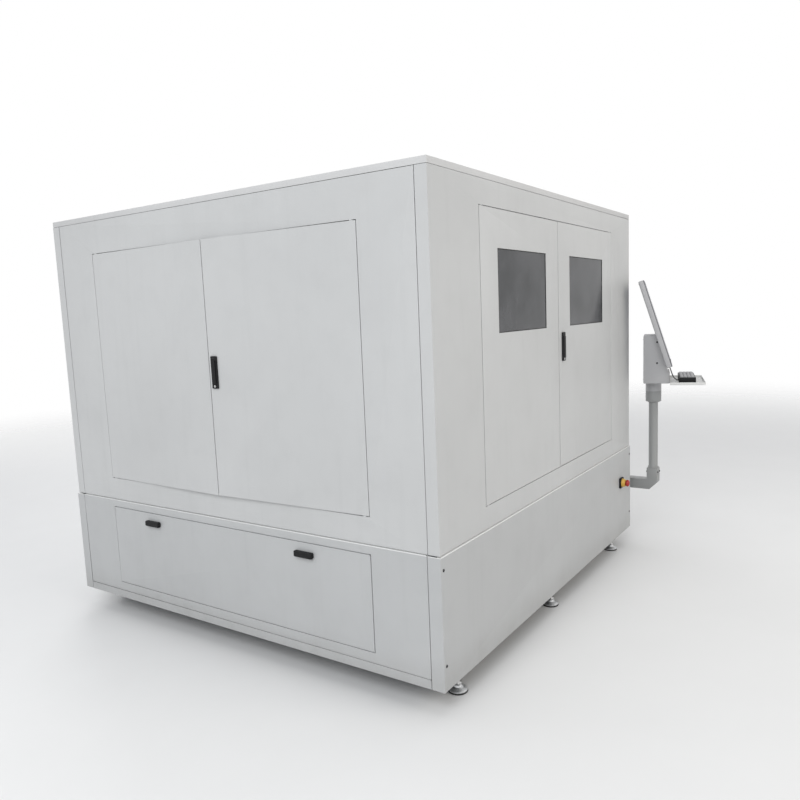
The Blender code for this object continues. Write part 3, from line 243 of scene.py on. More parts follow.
def coated_sheet(name, colour, worn=(), dust_below=None, gloss=0.34, painted_highlight_edges=(), shine=0.5):
    """Powder-coated sheet metal: orange peel, soft soiling, rubbed edges and a painted highlight on given edges.
    """
    dust_height = 0.14
    dust_colour, chip_colour = (0.26, 0.25, 0.23), (0.30, 0.295, 0.29)
    highlight_colour = (0.78, 0.78, 0.77)
    finish = Finish(name)
    peel = finish.noise(620, 2.0)
    wide = finish.noise(1.3, 4.0)
    cloud = finish.noise(9, 3.0)
    wiped = finish.noise(1.0, 4.0, 0.6, (26, 26, 1.6))
    rub = finish.noise(130, 4.0, 0.7)
    shade = tuple(0.90 * part for part in colour)
    mottle = (wide.step(0.35, 0.72) * 0.55 + cloud.step(0.45, 0.75) * 0.20
              + wiped.step(0.5, 0.8) * 0.25)
    paint = finish.blend(mottle, colour, shade)
    if dust_below is not None:
        height = finish.axes()[2] - dust_below
        dust = (1 - height.step(0.0, dust_height)) * cloud.range(0.15, 0.75)
        paint = finish.blend(dust * 0.5, paint, dust_colour)
    if worn:
        edge = 1 - near_planes(finish, worn).step(0.0006, 0.0036)
        chips = edge * rub.step(0.53, 0.60)
        paint = finish.blend(chips * 0.5, paint, chip_colour)
    # Painted highlight: a pale band along these edges, standing for light from above catching the fold.
    if painted_highlight_edges:
        rim = 1 - near_planes(finish, painted_highlight_edges).step(0.0014, 0.0036)
        paint = finish.blend(rim * 0.85, paint, highlight_colour)
    smear = finish.noise(5.0, 5.0, 0.65)
    return finish.set(colour=paint, roughness=smear * 0.12 + wiped * 0.06 + gloss,
                      normal=finish.bump(peel, 0.00003, 0.4), shine=shine)


def moulded_plastic(name, colour, roughness=0.42, grain=0.00006, shine=0.5):
    """Moulded plastic with a fine spark-eroded grain and a little dust."""
    finish = Finish(name)
    texture = finish.noise(1400, 2.0)
    dust = finish.noise(70, 5.0, 0.7)
    pale = tuple(min(1, part * 1.4 + 0.008) for part in colour)
    return finish.set(colour=finish.blend(dust.step(0.5, 0.8) * 0.35, colour, pale),
                      roughness=roughness + dust * 0.14, shine=shine,
                      normal=finish.bump(texture, grain, 0.5))


def bare_metal(name, colour, roughness, streak, depth=0.00003, soil=0.25,
               soil_colour=(0.10, 0.09, 0.08)):
    """Ground or drawn metal with its grinding lines, and soil in places."""
    finish = Finish(name)
    lines = finish.noise(1.0, 5.0, 0.75, streak)
    spots = finish.noise(24, 5.0, 0.7)
    light = tuple(min(1, 1.12 * part) for part in colour)
    metal = finish.blend(lines, colour, light)
    metal = finish.blend(spots.step(0.5, 0.85) * soil, metal, soil_colour)
    return finish.set(colour=metal, metal=1.0, roughness=roughness + lines * 0.12 + spots * 0.10,
                      normal=finish.bump(lines, depth, 0.5))


def zinc_coat(name):
    """Zinc-plated steel with its crystal patches."""
    deep, pale, stain = (0.50, 0.51, 0.52), (0.64, 0.65, 0.66), (0.36, 0.35, 0.33)
    finish = Finish(name)
    cells = {"Vector": finish.place, "Scale": 140}
    patches = finish.node("ShaderNodeTexVoronoi", {}, cells, "Distance")
    cloud = finish.noise(30, 4.0)
    zinc = finish.blend(patches.step(0.1, 0.6), deep, pale)
    zinc = finish.blend(cloud.step(0.55, 0.8) * 0.3, zinc, stain)
    return finish.set(colour=zinc, metal=1.0, roughness=0.34 + cloud * 0.16,
                      normal=finish.bump(cloud, 0.00005, 0.4))


def burnt_slats(name):
    """Mild steel slats: mill scale, rust and pale dross along the tips."""
    tip_height = 0.035
    dark_scale, pale_scale = (0.13, 0.115, 0.105), (0.24, 0.22, 0.205)
    rust_colour, dross = (0.20, 0.095, 0.045), (0.36, 0.34, 0.33)
    finish = Finish(name)
    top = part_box("cutting_table")[1].z
    tip = finish.axes()[2].step(top - tip_height, top)
    scale = finish.noise(60, 5.0, 0.7)
    rust = finish.noise(14, 5.0, 0.65)
    steel = finish.blend(scale, dark_scale, pale_scale)
    steel = finish.blend(rust.step(0.48, 0.7) * 0.6, steel, rust_colour)
    steel = finish.blend(tip * scale.range(0.2, 0.9), steel, dross)
    return finish.set(colour=steel, metal=0.65, roughness=0.58 + scale * 0.3,
                      normal=finish.bump(scale, 0.0005, 0.6))


def tinted_pane(name):
    """Grey laser-safe glazing with a thin film of dust, faint wiping marks, and painted reflections in its lighter
    patches and streaks.
    """
    dust_from, dust_to = 0.01, 0.13
    deep, pale, dusty = (0.022, 0.024, 0.027), (0.060, 0.062, 0.068), (0.16, 0.16, 0.17)
    finish = Finish(name)
    wipe_and_reflection = finish.noise(1.0, 4.0, 0.6, (12, 12, 3.0))
    haze_and_reflection = finish.noise(4.2, 4.0, 0.6)
    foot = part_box("front_left_window")[0].z
    settled = 1 - finish.axes()[2].step(foot + dust_from, foot + dust_to)
    # Lighter cloudy patches and vertical streaks: painted reflection on the glass, together with dust and wiping
    # marks.
    glass = finish.blend(haze_and_reflection.step(0.35, 0.70), deep, pale)
    glass = finish.blend(settled * 0.18 + wipe_and_reflection.step(0.52, 0.80) * 0.20, glass, dusty)
    return finish.set(colour=glass, roughness=0.08 + wipe_and_reflection * 0.12, alpha=0.94, shine=0.35)


def dark_screen(name):
    """A switched-off screen with finger marks."""
    finish = Finish(name)
    smudge = finish.noise(16, 5.0, 0.7)
    return finish.set(colour=finish.blend(smudge, (0.008, 0.009, 0.011), (0.016, 0.017, 0.020)),
                      roughness=0.07 + smudge * 0.16, coat=0.5)


def rubber(name):
    """Black rubber with a grey bloom of dust."""
    finish = Finish(name)
    dust = finish.noise(90, 5.0, 0.7)
    dark, dusty = (0.012, 0.012, 0.012), (0.04, 0.039, 0.037)
    return finish.set(colour=finish.blend(dust.step(0.4, 0.8), dark, dusty),
                      roughness=0.7 + dust * 0.2, normal=finish.bump(dust, 0.0002, 0.4))


def frosted_cover(name):
    """A lamp's frosted plastic cover."""
    finish = Finish(name)
    frost = finish.noise(300, 3.0)
    return finish.set(colour=finish.blend(frost, (0.78, 0.79, 0.78), (0.86, 0.87, 0.86)),
                      roughness=0.5 + frost * 0.2)


seams = tuple((2, height) for height in (base_top, base_bottom, roof_top))
cabinet_white = coated_sheet("cabinet_white", (0.56, 0.565, 0.565))
# The lower panels' top fold gets a painted highlight, standing for light from above on the ledge at the seam.
lower_white = coated_sheet("lower_cabinet_white", (0.49, 0.497, 0.50), seams, base_bottom,
                           painted_highlight_edges=seams[:1])
roof_white = coated_sheet("roof_white", (0.60, 0.60, 0.60), gloss=0.50, shine=0.3)
frame_white = coated_sheet("frame_white", (0.54, 0.545, 0.55))
# The column's grey is darker than the cabinet's white partly as painted shade falling on it.
column_grey_and_shade = coated_sheet("column_grey_and_shade", (0.30, 0.305, 0.305))
bed_grey = coated_sheet("bed_grey", (0.20, 0.215, 0.23), dust_below=base_bottom, gloss=0.42)
# The console's grey is darker than the cabinet's white partly as painted shade falling on it.
console_grey_and_shade = coated_sheet("console_grey_and_shade", (0.42, 0.42, 0.43))
bezel_grey = coated_sheet("bezel_grey", (0.15, 0.15, 0.165), gloss=0.40)
tray_white = coated_sheet("tray_white", (0.70, 0.70, 0.69))
black_plastic = moulded_plastic("black_plastic", (0.008, 0.008, 0.009), 0.44, shine=0.22)
# The key caps' light grey is a painted sheen on the keyboard's top.
key_sheen_grey = moulded_plastic("key_sheen_grey", (0.33, 0.33, 0.34), 0.5)
red_plastic = moulded_plastic("red_plastic", (0.36, 0.012, 0.010), 0.26, 0.00002)
yellow_plastic = moulded_plastic("yellow_plastic", (0.60, 0.36, 0.06), 0.40, 0.00003)
motor_black = moulded_plastic("motor_black", (0.018, 0.018, 0.020), 0.34)
ceramic_white = moulded_plastic("ceramic_white", (0.62, 0.60, 0.55), 0.30, 0.00002)
ground_steel = bare_metal("ground_steel", (0.60, 0.60, 0.60), 0.20, (60, 4, 60))
ground_across = bare_metal("ground_steel_across", (0.60, 0.60, 0.60), 0.20, (4, 60, 60))
milled_aluminium = bare_metal("milled_aluminium", (0.56, 0.57, 0.58), 0.32, (3, 120, 120))
anodised_silver = bare_metal("anodised_silver", (0.50, 0.51, 0.53), 0.30, (90, 90, 5), 0.00002, 0.1)
dark_steel = bare_metal("dark_steel", (0.060, 0.060, 0.064), 0.40, (50, 50, 50), 0.00004, 0.3,
                        (0.03, 0.028, 0.025))
bright_steel = bare_metal("bright_steel", (0.64, 0.64, 0.64), 0.22, (80, 80, 20))
nozzle_copper = bare_metal("nozzle_copper", (0.72, 0.36, 0.20), 0.24, (60, 60, 20), 0.00002, 0.35)
brass = bare_metal("brass", (0.70, 0.52, 0.22), 0.26, (60, 60, 20), 0.00002, 0.2)
zinc = zinc_coat("zinc_plate")
slat_steel = burnt_slats("slat_steel")
pane_glass = tinted_pane("window_tint")
screen_glass = dark_screen("screen_glass")
black_rubber = rubber("black_rubber")
lamp_cover = frosted_cover("lamp_cover")

node_finishes = {
    frame_white: ("enclosure_frame",),
    bed_grey: ("bed_frame",),
    column_grey_and_shade: ("console_arm", "console_column"),
    console_grey_and_shade: ("console_box", "monitor"),
    tray_white: ("keyboard_tray",),
    lower_white: ("front_lower_panel", "rear_lower_panel", "left_lower_panel",
                  "right_lower_panel", "left_sill", "right_sill", "slag_drawer"),
    roof_white: ("roof_panel",),
    cabinet_white: ("front_upper_panel", "rear_upper_panel", "left_upper_panel",
                    "right_upper_panel", "front_left_door", "front_right_door",
                    "side_front_door", "side_rear_door"),
    black_plastic: ("front_door_lock", "front_door_lock_lever", "side_door_lock",
                    "side_door_lock_lever", "front_drawer_pull", "rear_drawer_pull",
                    "emergency_stop_box", "keyboard"),
    red_plastic: ("emergency_stop_button",),
    black_rubber: ("keyboard_lead",),
    zinc: ("front_left_foot", "front_middle_foot", "front_right_foot", "rear_left_foot",
           "rear_middle_foot", "rear_right_foot", "front_drawer_runner", "rear_drawer_runner",
           "fume_outlet", "power_inlet"),
    ground_steel: ("left_guide_rail", "right_guide_rail", "left_rack", "right_rack"),
    ground_across: ("lower_cross_rail", "upper_cross_rail"),
    milled_aluminium: ("gantry_beam", "carriage", "head_slide"),
    motor_black: ("left_gantry_motor", "right_gantry_motor", "head_lift_motor"),
    anodised_silver: ("cutting_head",),
    nozzle_copper: ("nozzle",),
    slat_steel: ("cutting_table",),
    pane_glass: ("front_left_window", "front_right_window"),
}
finish_of = {node: finish for finish, names in node_finishes.items() for node in names}
for node, finish in finish_of.items():
    for slot in nodes[node].material_slots:
        slot.material = finish


def piece(name, bm, material, node, stands_for=False):
    """A finished mesh that rides with a CAD node, and may stand for it."""
    mesh = bpy.data.meshes.new(name)
    bm.to_mesh(mesh)
    bm.free()
    if "custom_normal" in mesh.attributes:
        mesh.attributes.remove(mesh.attributes["custom_normal"])
    mesh.materials.append(material)
    mesh.shade_smooth()
    mesh.set_sharp_from_angle(angle=math.radians(35))
    made = bpy.data.objects.new(name, mesh)
    bpy.context.scene.collection.objects.link(made)
    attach(made, node_body[node])
    if stands_for:
        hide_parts(node)


def moved(bm, place):
    bmesh.ops.transform(bm, matrix=place, verts=bm.verts)
    return bm


def pushed(bm, made, vec):
    """Slides what an extrusion made, and turns every face outwards."""
    verts = [item for item in made["geom"] if isinstance(item, bmesh.types.BMVert)]
    bmesh.ops.translate(bm, verts=verts, vec=vec)
    bmesh.ops.recalc_face_normals(bm, faces=bm.faces[:])
    return bm


def round_off(bm, width, segments=2, edges=None):
    if width:
        bmesh.ops.bevel(bm, geom=edges or bm.edges[:], offset=width, segments=segments,
                        profile=0.5, affect="EDGES", material=-1)
    return bm


def block(low, high, rounding=0, segments=2):
    low, high = Vector(low), Vector(high)
    bm = bmesh.new()
    shape = Matrix.Translation((low + high) / 2) @ Matrix.Diagonal((*(high - low), 1))
    bmesh.ops.create_cube(bm, size=1, matrix=shape)
    return round_off(bm, rounding, segments)


def square_block(half, low, high, rounding, segments=2):
    """A block with a square foot round Z."""
    return block((-half, -half, low), (half, half, high), rounding, segments)


def rod(radius, start, end, sides=24, rounding=0):
    start, end = Vector(start), Vector(end)
    bm = bmesh.new()
    turn = (end - start).to_track_quat("Z", "Y").to_matrix().to_4x4()
    bmesh.ops.create_cone(bm, cap_ends=True, segments=sides, radius1=radius, radius2=radius,
                          depth=(end - start).length,
                          matrix=Matrix.Translation((start + end) / 2) @ turn)
    rims = [edge for edge in bm.edges if any(len(face.verts) > 4 for face in edge.link_faces)]
    return round_off(bm, rounding, 2, rims)


def turned(profile, sides=32, place=Matrix()):
    """A turned shape about Z from (radius, height) points that run from the top down."""
    bm = bmesh.new()
    verts = [bm.verts.new((radius, 0, height)) for radius, height in profile]
    for first, second in zip(verts, verts[1:]):
        bm.edges.new((first, second))
    bmesh.ops.spin(bm, geom=bm.verts[:] + bm.edges[:], cent=(0, 0, 0), axis=up,
                   angle=math.tau, steps=sides, use_merge=True)
    bmesh.ops.remove_doubles(bm, verts=bm.verts, dist=0.00001)
    bmesh.ops.recalc_face_normals(bm, faces=bm.faces[:])
    return moved(bm, place)


def extruded(outline, axis, start, end):
    """A bar along one axis, whose outline is given in the other two."""
    others = [index for index in range(3) if index != axis]
    bm = bmesh.new()
    verts = []
    for pair in outline:
        at = Vector((0, 0, 0))
        at[axis] = start
        at[others[0]], at[others[1]] = pair
        verts.append(bm.verts.new(at))
    made = bmesh.ops.extrude_face_region(bm, geom=[bm.faces.new(verts)])
    along = Vector((0, 0, 0))
    along[axis] = end - start
    return pushed(bm, made, along)


def ring_strip(outer, inner, back, face):
    """A flat rectangular ring in the XZ plane; outer and inner are (x0, x1, z0, z1)."""
    bm = bmesh.new()
    rings = []
    for x0, x1, z0, z1 in (outer, inner):
        corners = ((x0, z0), (x1, z0), (x1, z1), (x0, z1))
        rings.append([bm.verts.new((x, back, z)) for x, z in corners])
    for index in range(4):
        after = (index + 1) % 4
        bm.faces.new((rings[0][index], rings[0][after], rings[1][after], rings[1][index]))
    made = bmesh.ops.extrude_face_region(bm, geom=bm.faces[:])
    return pushed(bm, made, (0, face - back, 0))


def grown(hole, size):
    """A rectangle whose four edges lie further out."""
    x0, x1, z0, z1 = hole
    return x0 - size, x1 + size, z0 - size, z1 + size


def repeat_all(shapes):
    """One mesh from pairs of a shape and the places of its copies."""
    many = bmesh.new()
    for shape, places in shapes:
        mesh = bpy.data.meshes.new("shape")
        shape.to_mesh(mesh)
        shape.free()
        for place in places:
            start = len(many.verts)
            many.from_mesh(mesh)
            many.verts.ensure_lookup_table()
            bmesh.ops.transform(many, matrix=place, verts=many.verts[start:])
        bpy.data.meshes.remove(mesh)
    return many


def repeat(shape, places):
    return repeat_all([(shape, places)])


def gather(*shapes):
    """Several shapes as one."""
    return repeat_all((shape, [Matrix()]) for shape in shapes)


def row(shape, count, step):
    """Copies of a shape, one above the other."""
    return repeat(shape, [Matrix.Translation((0, 0, index * step)) for index in range(count)])


def facing(place, normal):
    """Puts a shape made along +Z at a place, pointing along a normal."""
    return Matrix.Translation(place) @ Vector(normal).to_track_quat("Z", "Y").to_matrix().to_4x4()


def spread(start, end, count):
    """Evenly spaced values, both ends included."""
    return [start + (end - start) * index / (count - 1) for index in range(count)]


def middle_of(node):
    low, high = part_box(node)
    return (low + high) / 2


def socket_screw(radius, height):
    """A cap screw's head with its socket, standing on Z = 0."""
    return turned([(0, height * 0.4), (radius * 0.52, height * 0.4), (radius * 0.55, height),
                   (radius * 0.9, height), (radius, height * 0.85), (radius, 0)], 12)


def domed_screw(radius, height):
    """A button head with its small socket."""
    return turned([(0, height * 0.5), (radius * 0.40, height * 0.5), (radius * 0.45, height),
                   (radius * 0.70, height * 0.9), (radius * 0.93, height * 0.5), (radius, 0)], 14)


def heads(xs, ys, zs, normal):
    """A spot for a screw at every crossing of these values, all facing one way."""
    return [(Vector(point), normal) for point in product(xs, ys, zs)]


def add_screws(name, spots, radius, height, node, material, head=domed_screw, on=Matrix()):
    """A screw head at each spot, which may be given in a door's or the console's own frame."""
    turn = on.to_3x3()
    places = [facing(on @ point, turn @ Vector(normal)) for point, normal in spots]
    piece(name, repeat(head(radius, height), places), material, node)


def merged_copy(node):
    """A node's shape with its loose triangles joined."""
    bm = bmesh.new()
    bm.from_mesh(nodes[node].data)
    bmesh.ops.remove_doubles(bm, verts=bm.verts, dist=0.00001)
    return bm


def is_fold(edge):
    """True on the outside of a bend, and not along the sheet's cut edges."""
    if not edge.is_manifold or not edge.is_convex or edge.calc_face_angle() < math.radians(60):
        return False
    return all(face_reach(face, edge) > 3 * sheet for face in edge.link_faces)


def face_reach(face, edge):
    """How far a triangle's third corner lies from an edge."""
    far = next(vert for vert in face.verts if vert not in edge.verts)
    start, end = (vert.co for vert in edge.verts)
    return (far.co - start).cross((end - start).normalized()).length


def add_sheet(node):
    """A sheet-metal node whose folds get their real bend radius."""
    bm = merged_copy(node)
    round_off(bm, bend_radius, 3, [edge for edge in bm.edges if is_fold(edge)])
    piece(node + "_folded", bm, finish_of[node], node, True)


def add_smooth(node):
    """A node with its curved sides shaded round."""
    piece(node + "_finished", merged_copy(node), finish_of[node], node, True)


def add_window(door, pane):
    """A window's black rubber edge outside, also painted shade for the shadow in the window's recess, and the
    frame that clamps the pane from inside.
    """
    lap, play, gasket_and_shadow_width = 0.018, 0.0002, 0.0032
    clamp_inner, clamp_outer, clamp_back, clamp_face = 0.005, 0.022, 0.0076, 0.0098
    place = leaf_place(door)
    low, high = (place.inverted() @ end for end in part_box(pane))
    hole = (low.x + lap, high.x - lap, low.z + lap, high.z - lap)
    # A black rim round the pane: a rubber edge, and painted shade for the shadow in the window's recess.
    edge = ring_strip(grown(hole, -play), grown(hole, -gasket_and_shadow_width), 0.0022, 0.0008)
    piece(pane + "_gasket_and_shadow", moved(edge, place), black_rubber, pane)
    clamp = ring_strip(grown(hole, clamp_outer), grown(hole, -clamp_inner), clamp_back, clamp_face)
    round_off(clamp, 0.0006, 1)
    piece(pane + "_clamp", moved(clamp, place), cabinet_white, door)
    x0, x1, z0, z1 = grown(hole, (clamp_outer + play) / 2)
    spots = heads(spread(x0, x1, 5), [clamp_face], (z0, z1), rear)
    spots += heads((x0, x1), [clamp_face], spread(z0, z1, 4)[1:-1], rear)
    add_screws(pane + "_clamp_screws", spots, 0.0036, 0.0022, door, bright_steel, on=place)


def add_doorway_seal(name, face, doors, panel):
    """Rubber edge trim pushed on the doorway's inner fold."""
    trim_outside, trim_inside = 0.0036, 0.0008
    place = face_place(face)
    xs, zs = [], []
    for door in doors:
        hinge = place.inverted() @ Vector(joints[door + "_hinge"]["pos_m"])
        on_right = leaves[door][2]
        xs.append(hinge.x + (hinge_edge + door_gap) * (1 if on_right else -1))
        zs += [end.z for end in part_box(door)]
    hole = (min(xs), max(xs), min(zs) - door_gap, max(zs) + door_gap)
    seal = ring_strip(grown(hole, trim_outside), grown(hole, -trim_inside), 0.0285, 0.0210)
    piece(name, moved(round_off(seal, 0.0012), place), black_rubber, panel)


def add_edge_seal(door):
    """The rubber strip along a door's free edge, which closes on the other door."""
    leaf = leaves[door][1]
    low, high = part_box(door)
    end_gap = 0.004
    strip = block((leaf - 0.0004, 0.009, low.z + end_gap),
                  (leaf + 0.0017, 0.0185, high.z - end_gap), 0.0008)
    piece(door + "_edge_seal", moved(strip, leaf_place(door)), black_rubber, door)


def add_lock_details(lock):
    """A key cylinder and a screw in the lock's face, and the cam behind the door."""
    lock_face, key_height, screw_drop = -0.008, 0.0095, 0.0088
    door = node_body[lock]
    place = leaf_place(door)
    low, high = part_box(lock)
    centre = place.inverted() @ middle_of(lock)
    key = turned([(0, 0.0004), (0.0010, 0.0004), (0.0012, 0.0012), (0.0042, 0.0014),
                  (0.0050, 0.0010), (0.0052, -0.001)], 24)
    # The keyway is a dark block on the cylinder's face: painted shade for the slot's depth.
    keyway_shade = block((-0.0006, -0.0024, 0.0010), (0.0006, 0.0024, 0.0017), 0.0002, 1)
    at = place @ Matrix.Translation((centre.x, lock_face, low.z + key_height)) @ upright_to_front
    piece(lock + "_cylinder", moved(key, at), bright_steel, lock)
    piece(lock + "_keyway_shade_block", moved(keyway_shade, at), dark_steel, lock)
    add_screws(lock + "_screw", heads([centre.x], [lock_face], [high.z - screw_drop], front),
               0.0034, 0.0009, lock, dark_steel, on=place)
    towards = -1 if centre.x < leaves[door][1] / 2 else 1
    tongue = (-0.007, 0.024) if towards > 0 else (-0.024, 0.007)
    cam = gather(block((-0.012, 0.0045, -0.034), (0.012, 0.0185, 0.034), 0.002),
                 rod(0.0085, (0, 0.018, 0), (0, 0.026, 0), rounding=0.001),
                 block((tongue[0], 0.0262, -0.008), (tongue[1], 0.0292, 0.008), 0.001))
    at = Matrix.Translation((centre.x - towards * 0.002, 0, centre.z))
    piece(lock + "_cam", moved(cam, place @ at), zinc, lock)


def add_foot(node):
    """A levelling foot: rubber sole, pressed dish, and a threaded stud with its nuts."""
    low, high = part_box(node)
    middle = middle_of(node)
    place = Matrix.Translation((middle.x, middle.y, low.z))
    top = high.z - low.z
    dish_top, thread_step, thread_turns = 0.0302, 0.0009, 75
    sole = turned([(0, 0.0062), (0.0368, 0.0062), (0.0392, 0.0045), (0.0396, 0.0010),
                   (0.0385, 0), (0, 0)], 48)
    dish = turned([(0, 0.030), (0.0130, 0.030), (0.0165, 0.0275), (0.0185, 0.021),
                   (0.0245, 0.0165), (0.0355, 0.0120), (0.0378, 0.0100), (0.0378, 0.0064),
                   (0, 0.0064)], 48)
    thread = [(0.0100 if index % 2 else 0.0090, dish_top + index * thread_step)
              for index in range(thread_turns)]
    stud = turned([(0, top), (0.0088, top), *reversed(thread), (0, dish_top)], 28)
    nuts = [rod(radius, (0, 0, start), (0, 0, end), sides, rounding)
            for radius, start, end, sides, rounding in (
                (0.0162, 0.0312, 0.0412, 6, 0.0010),
                (0.0162, top - 0.0165, top - 0.0035, 6, 0.0010),
                (0.0180, top - 0.0034, top - 0.0004, 32, 0.0006))]
    piece(node + "_dish", moved(dish, place), zinc, node, True)
    piece(node + "_sole", moved(sole, place), black_rubber, node)
    piece(node + "_stud", moved(gather(stud, *nuts), place), bright_steel, node)


def rail_outline(half, height):
    """A profiled rail's section: a narrow foot, a groove at each side and a flat top."""
    groove, chamfer = 0.0013, 0.0012
    side = [(half, 0), (half, height * 0.44), (half - groove, height * 0.53),
            (half - groove, height * 0.64), (half, height * 0.74), (half, height - chamfer),
            (half - chamfer, height)]
    return side + [(-x, z) for x, z in reversed(side)]


def add_rail(node, along):
    """A profiled linear rail with plugged screw holes, along X (0) or Y (1)."""
    hole_pitch = 0.060
    low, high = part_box(node)
    middle, size = middle_of(node), high - low
    length = size[along]
    if along == 1:
        width, height, foot = size.x, size.z, (middle.x, middle.y, low.z)
        turn = Matrix()
    else:
        width, height, foot = size.z, size.y, (middle.x, high.y, middle.z)
        turn = (Matrix.Rotation(math.radians(-90), 4, "Z")
                @ Matrix.Rotation(math.radians(-90), 4, "Y"))
    place = Matrix.Translation(foot) @ turn
    bar = extruded(rail_outline(width / 2, height), 1, -length / 2, length / 2)
    piece(node + "_profile", moved(bar, place), finish_of[node], node, True)
    count = int(length / hole_pitch)
    plug = turned([(0, 0.00008), (0.0048, 0.00008), (0.0050, 0.0002), (0.0054, 0.0002),
                   (0.0056, -0.0003)], 18)
    places = [Matrix.Translation((0, (index - (count - 1) / 2) * hole_pitch, height))
              for index in range(count)]
    piece(node + "_plugs", moved(repeat(plug, places), place), dark_steel, node)


def add_rack(node, motor):
    """A rack with its real tooth pitch and the screws that hold it."""
    pitch, depth, tip_gap, root_gap = 0.00625, 0.0045, 0.002275, 0.0010
    end_land, screw_inset, screw_end, screw_count = 0.004, 0.0065, 0.06, 14
    low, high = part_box(node)
    toward = 1 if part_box(motor)[0].x > low.x else -1
    back, tip = (low.x, high.x) if toward > 0 else (high.x, low.x)
    root = tip - toward * depth
    mesh_y = middle_of(motor).y
    first = math.ceil((low.y + end_land - mesh_y) / pitch)
    last = math.floor((high.y - end_land - mesh_y) / pitch)
    outline = [(back, low.y), (tip, low.y)]
    for index in range(first, last + 1):
        gap = mesh_y + index * pitch
        outline += [(tip, gap - tip_gap), (root, gap - root_gap), (root, gap + root_gap),
                    (tip, gap + tip_gap)]
    outline += [(tip, high.y), (back, high.y)]
    piece(node + "_teeth", extruded(outline, 2, low.z, high.z), finish_of[node], node, True)
    ys = spread(low.y + screw_end, high.y - screw_end, screw_count)
    add_screws(node + "_screws", heads([back + toward * screw_inset], ys, [high.z], up),
               0.0042, 0.0024, node, dark_steel, socket_screw)


def gear(teeth, root, tip, low, high, first_angle):
    """A toothed wheel about Z, with the middle of one tooth at the first angle."""
    root_half, tip_half = 0.0021, 0.0008
    outline = []
    for index in range(teeth):
        middle = first_angle + index * math.tau / teeth
        for radius, half in ((root, -root_half), (tip, -tip_half), (tip, tip_half),
                             (root, root_half)):
            angle = middle + half / radius
            outline.append((radius * math.cos(angle), radius * math.sin(angle)))
    return extruded(outline, 2, low, high)


def add_servo(node):
    """A servo motor over its reducer: black housing, bright flanges and screws."""
    half, length, reducer, reducer_radius = 0.040, 0.140, 0.050, 0.030
    flange, neck = 0.0095, 0.028
    middle = middle_of(node)
    base, top = reducer, reducer + length
    place = Matrix.Translation((middle.x, middle.y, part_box(node)[1].z - top))
    plug_z, plug_y = top - 0.022, half - 0.008
    black = gather(
        square_block(half - 0.002, base + 0.010, top - 0.046, 0.005, 3),
        square_block(half - 0.006, top - 0.042, top, 0.006, 3),
        rod(0.0085, (-0.014, plug_y, plug_z), (-0.014, half + 0.010, plug_z), rounding=0.001),
        rod(0.0065, (0.014, plug_y, plug_z), (0.014, half + 0.008, plug_z), rounding=0.001))
    bright = gather(
        square_block(half, base, base + flange, 0.002),
        square_block(half - 0.001, top - 0.0458, top - 0.0422, 0.001),
        turned([(0, base - 0.0002), (reducer_radius, base - 0.0002), (reducer_radius, base - 0.006),
                (neck, base - 0.008), (neck, 0.016), (reducer_radius, 0.014),
                (reducer_radius, 0.0098), (0, 0.0098)], 40),
        square_block(half - 0.005, 0, flange, 0.002))
    screws = []
    for z, reach in ((flange, half - 0.0105), (base + flange, half - 0.0050)):
        spots = product((-reach, reach), (-reach, reach), [z])
        screws += [Matrix.Translation(point) for point in spots]
    piece(node + "_body", moved(black, place), motor_black, node, True)
    piece(node + "_flanges", moved(bright, place), anodised_silver, node)
    screw = socket_screw(0.0040, 0.0036)
    piece(node + "_screws", moved(repeat(screw, screws), place), bright_steel, node)
    return place.translation


def add_pinion(motor, foot):
    """A gantry motor's pinion in its rack, with its hub and shaft."""
    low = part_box(motor)[0].z
    hub, shaft, hub_top = 0.0120, 0.0080, low + 0.0190
    toward_rack = 0 if foot.x > 0 else math.pi
    wheel = gather(gear(21, 0.0186, 0.0228, low, low + 0.015, toward_rack),
                   rod(hub, (0, 0, low + 0.0149), (0, 0, hub_top), 28, 0.001),
                   rod(shaft, (0, 0, low + 0.0180), (0, 0, foot.z + 0.012), 28))
    moved(wheel, Matrix.Translation((foot.x, foot.y, 0)))
    piece(motor + "_pinion", wheel, dark_steel, motor)


def add_gantry_ends():
    """Bearing block seals and grease nipples, and the screws in the gantry's end plates."""
    block_ends = ((0, -1), (0.070, 1), (0.180, -1), (0.250, 1))
    seal, plate_rise, screw_reach = 0.0026, 0.0443, 0.016
    beam_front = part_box("gantry_beam")[0].y
    for side, inward in (("left", 1), ("right", -1)):
        motor = side + "_gantry_motor"
        add_pinion(motor, add_servo(motor))
        x, rail_top = middle_of(side + "_guide_rail").x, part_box(side + "_guide_rail")[1].z
        seals, nipples = [], []
        for end, out in block_ends:
            y = beam_front + end
            seals.append(Matrix.Translation((x, y + min(0, out) * seal, rail_top + 0.0115)))
            nipples.append(facing((x + 0.012 * inward, y + out * seal, rail_top + 0.016),
                                  (0, out, 0)))
        plate = block((-0.0205, 0, -0.0110), (0.0205, seal, 0.0112), 0.0012)
        piece(side + "_block_seals", repeat(plate, seals), black_plastic, "gantry_beam")
        nipple = turned([(0, 0.009), (0.0022, 0.009), (0.0030, 0.0075), (0.0022, 0.0060),
                         (0.0034, 0.0030), (0.0034, 0)], 12)
        piece(side + "_grease_nipples", repeat(nipple, nipples), brass, "gantry_beam")
        ys = [beam_front + y for y in (0.012, 0.031, 0.192, 0.238)]
        spots = heads((x - screw_reach, x + screw_reach), ys, [rail_top + plate_rise], up)
        add_screws(side + "_end_plate_screws", spots, 0.0058, 0.0052, "gantry_beam", dark_steel,
                   socket_screw)


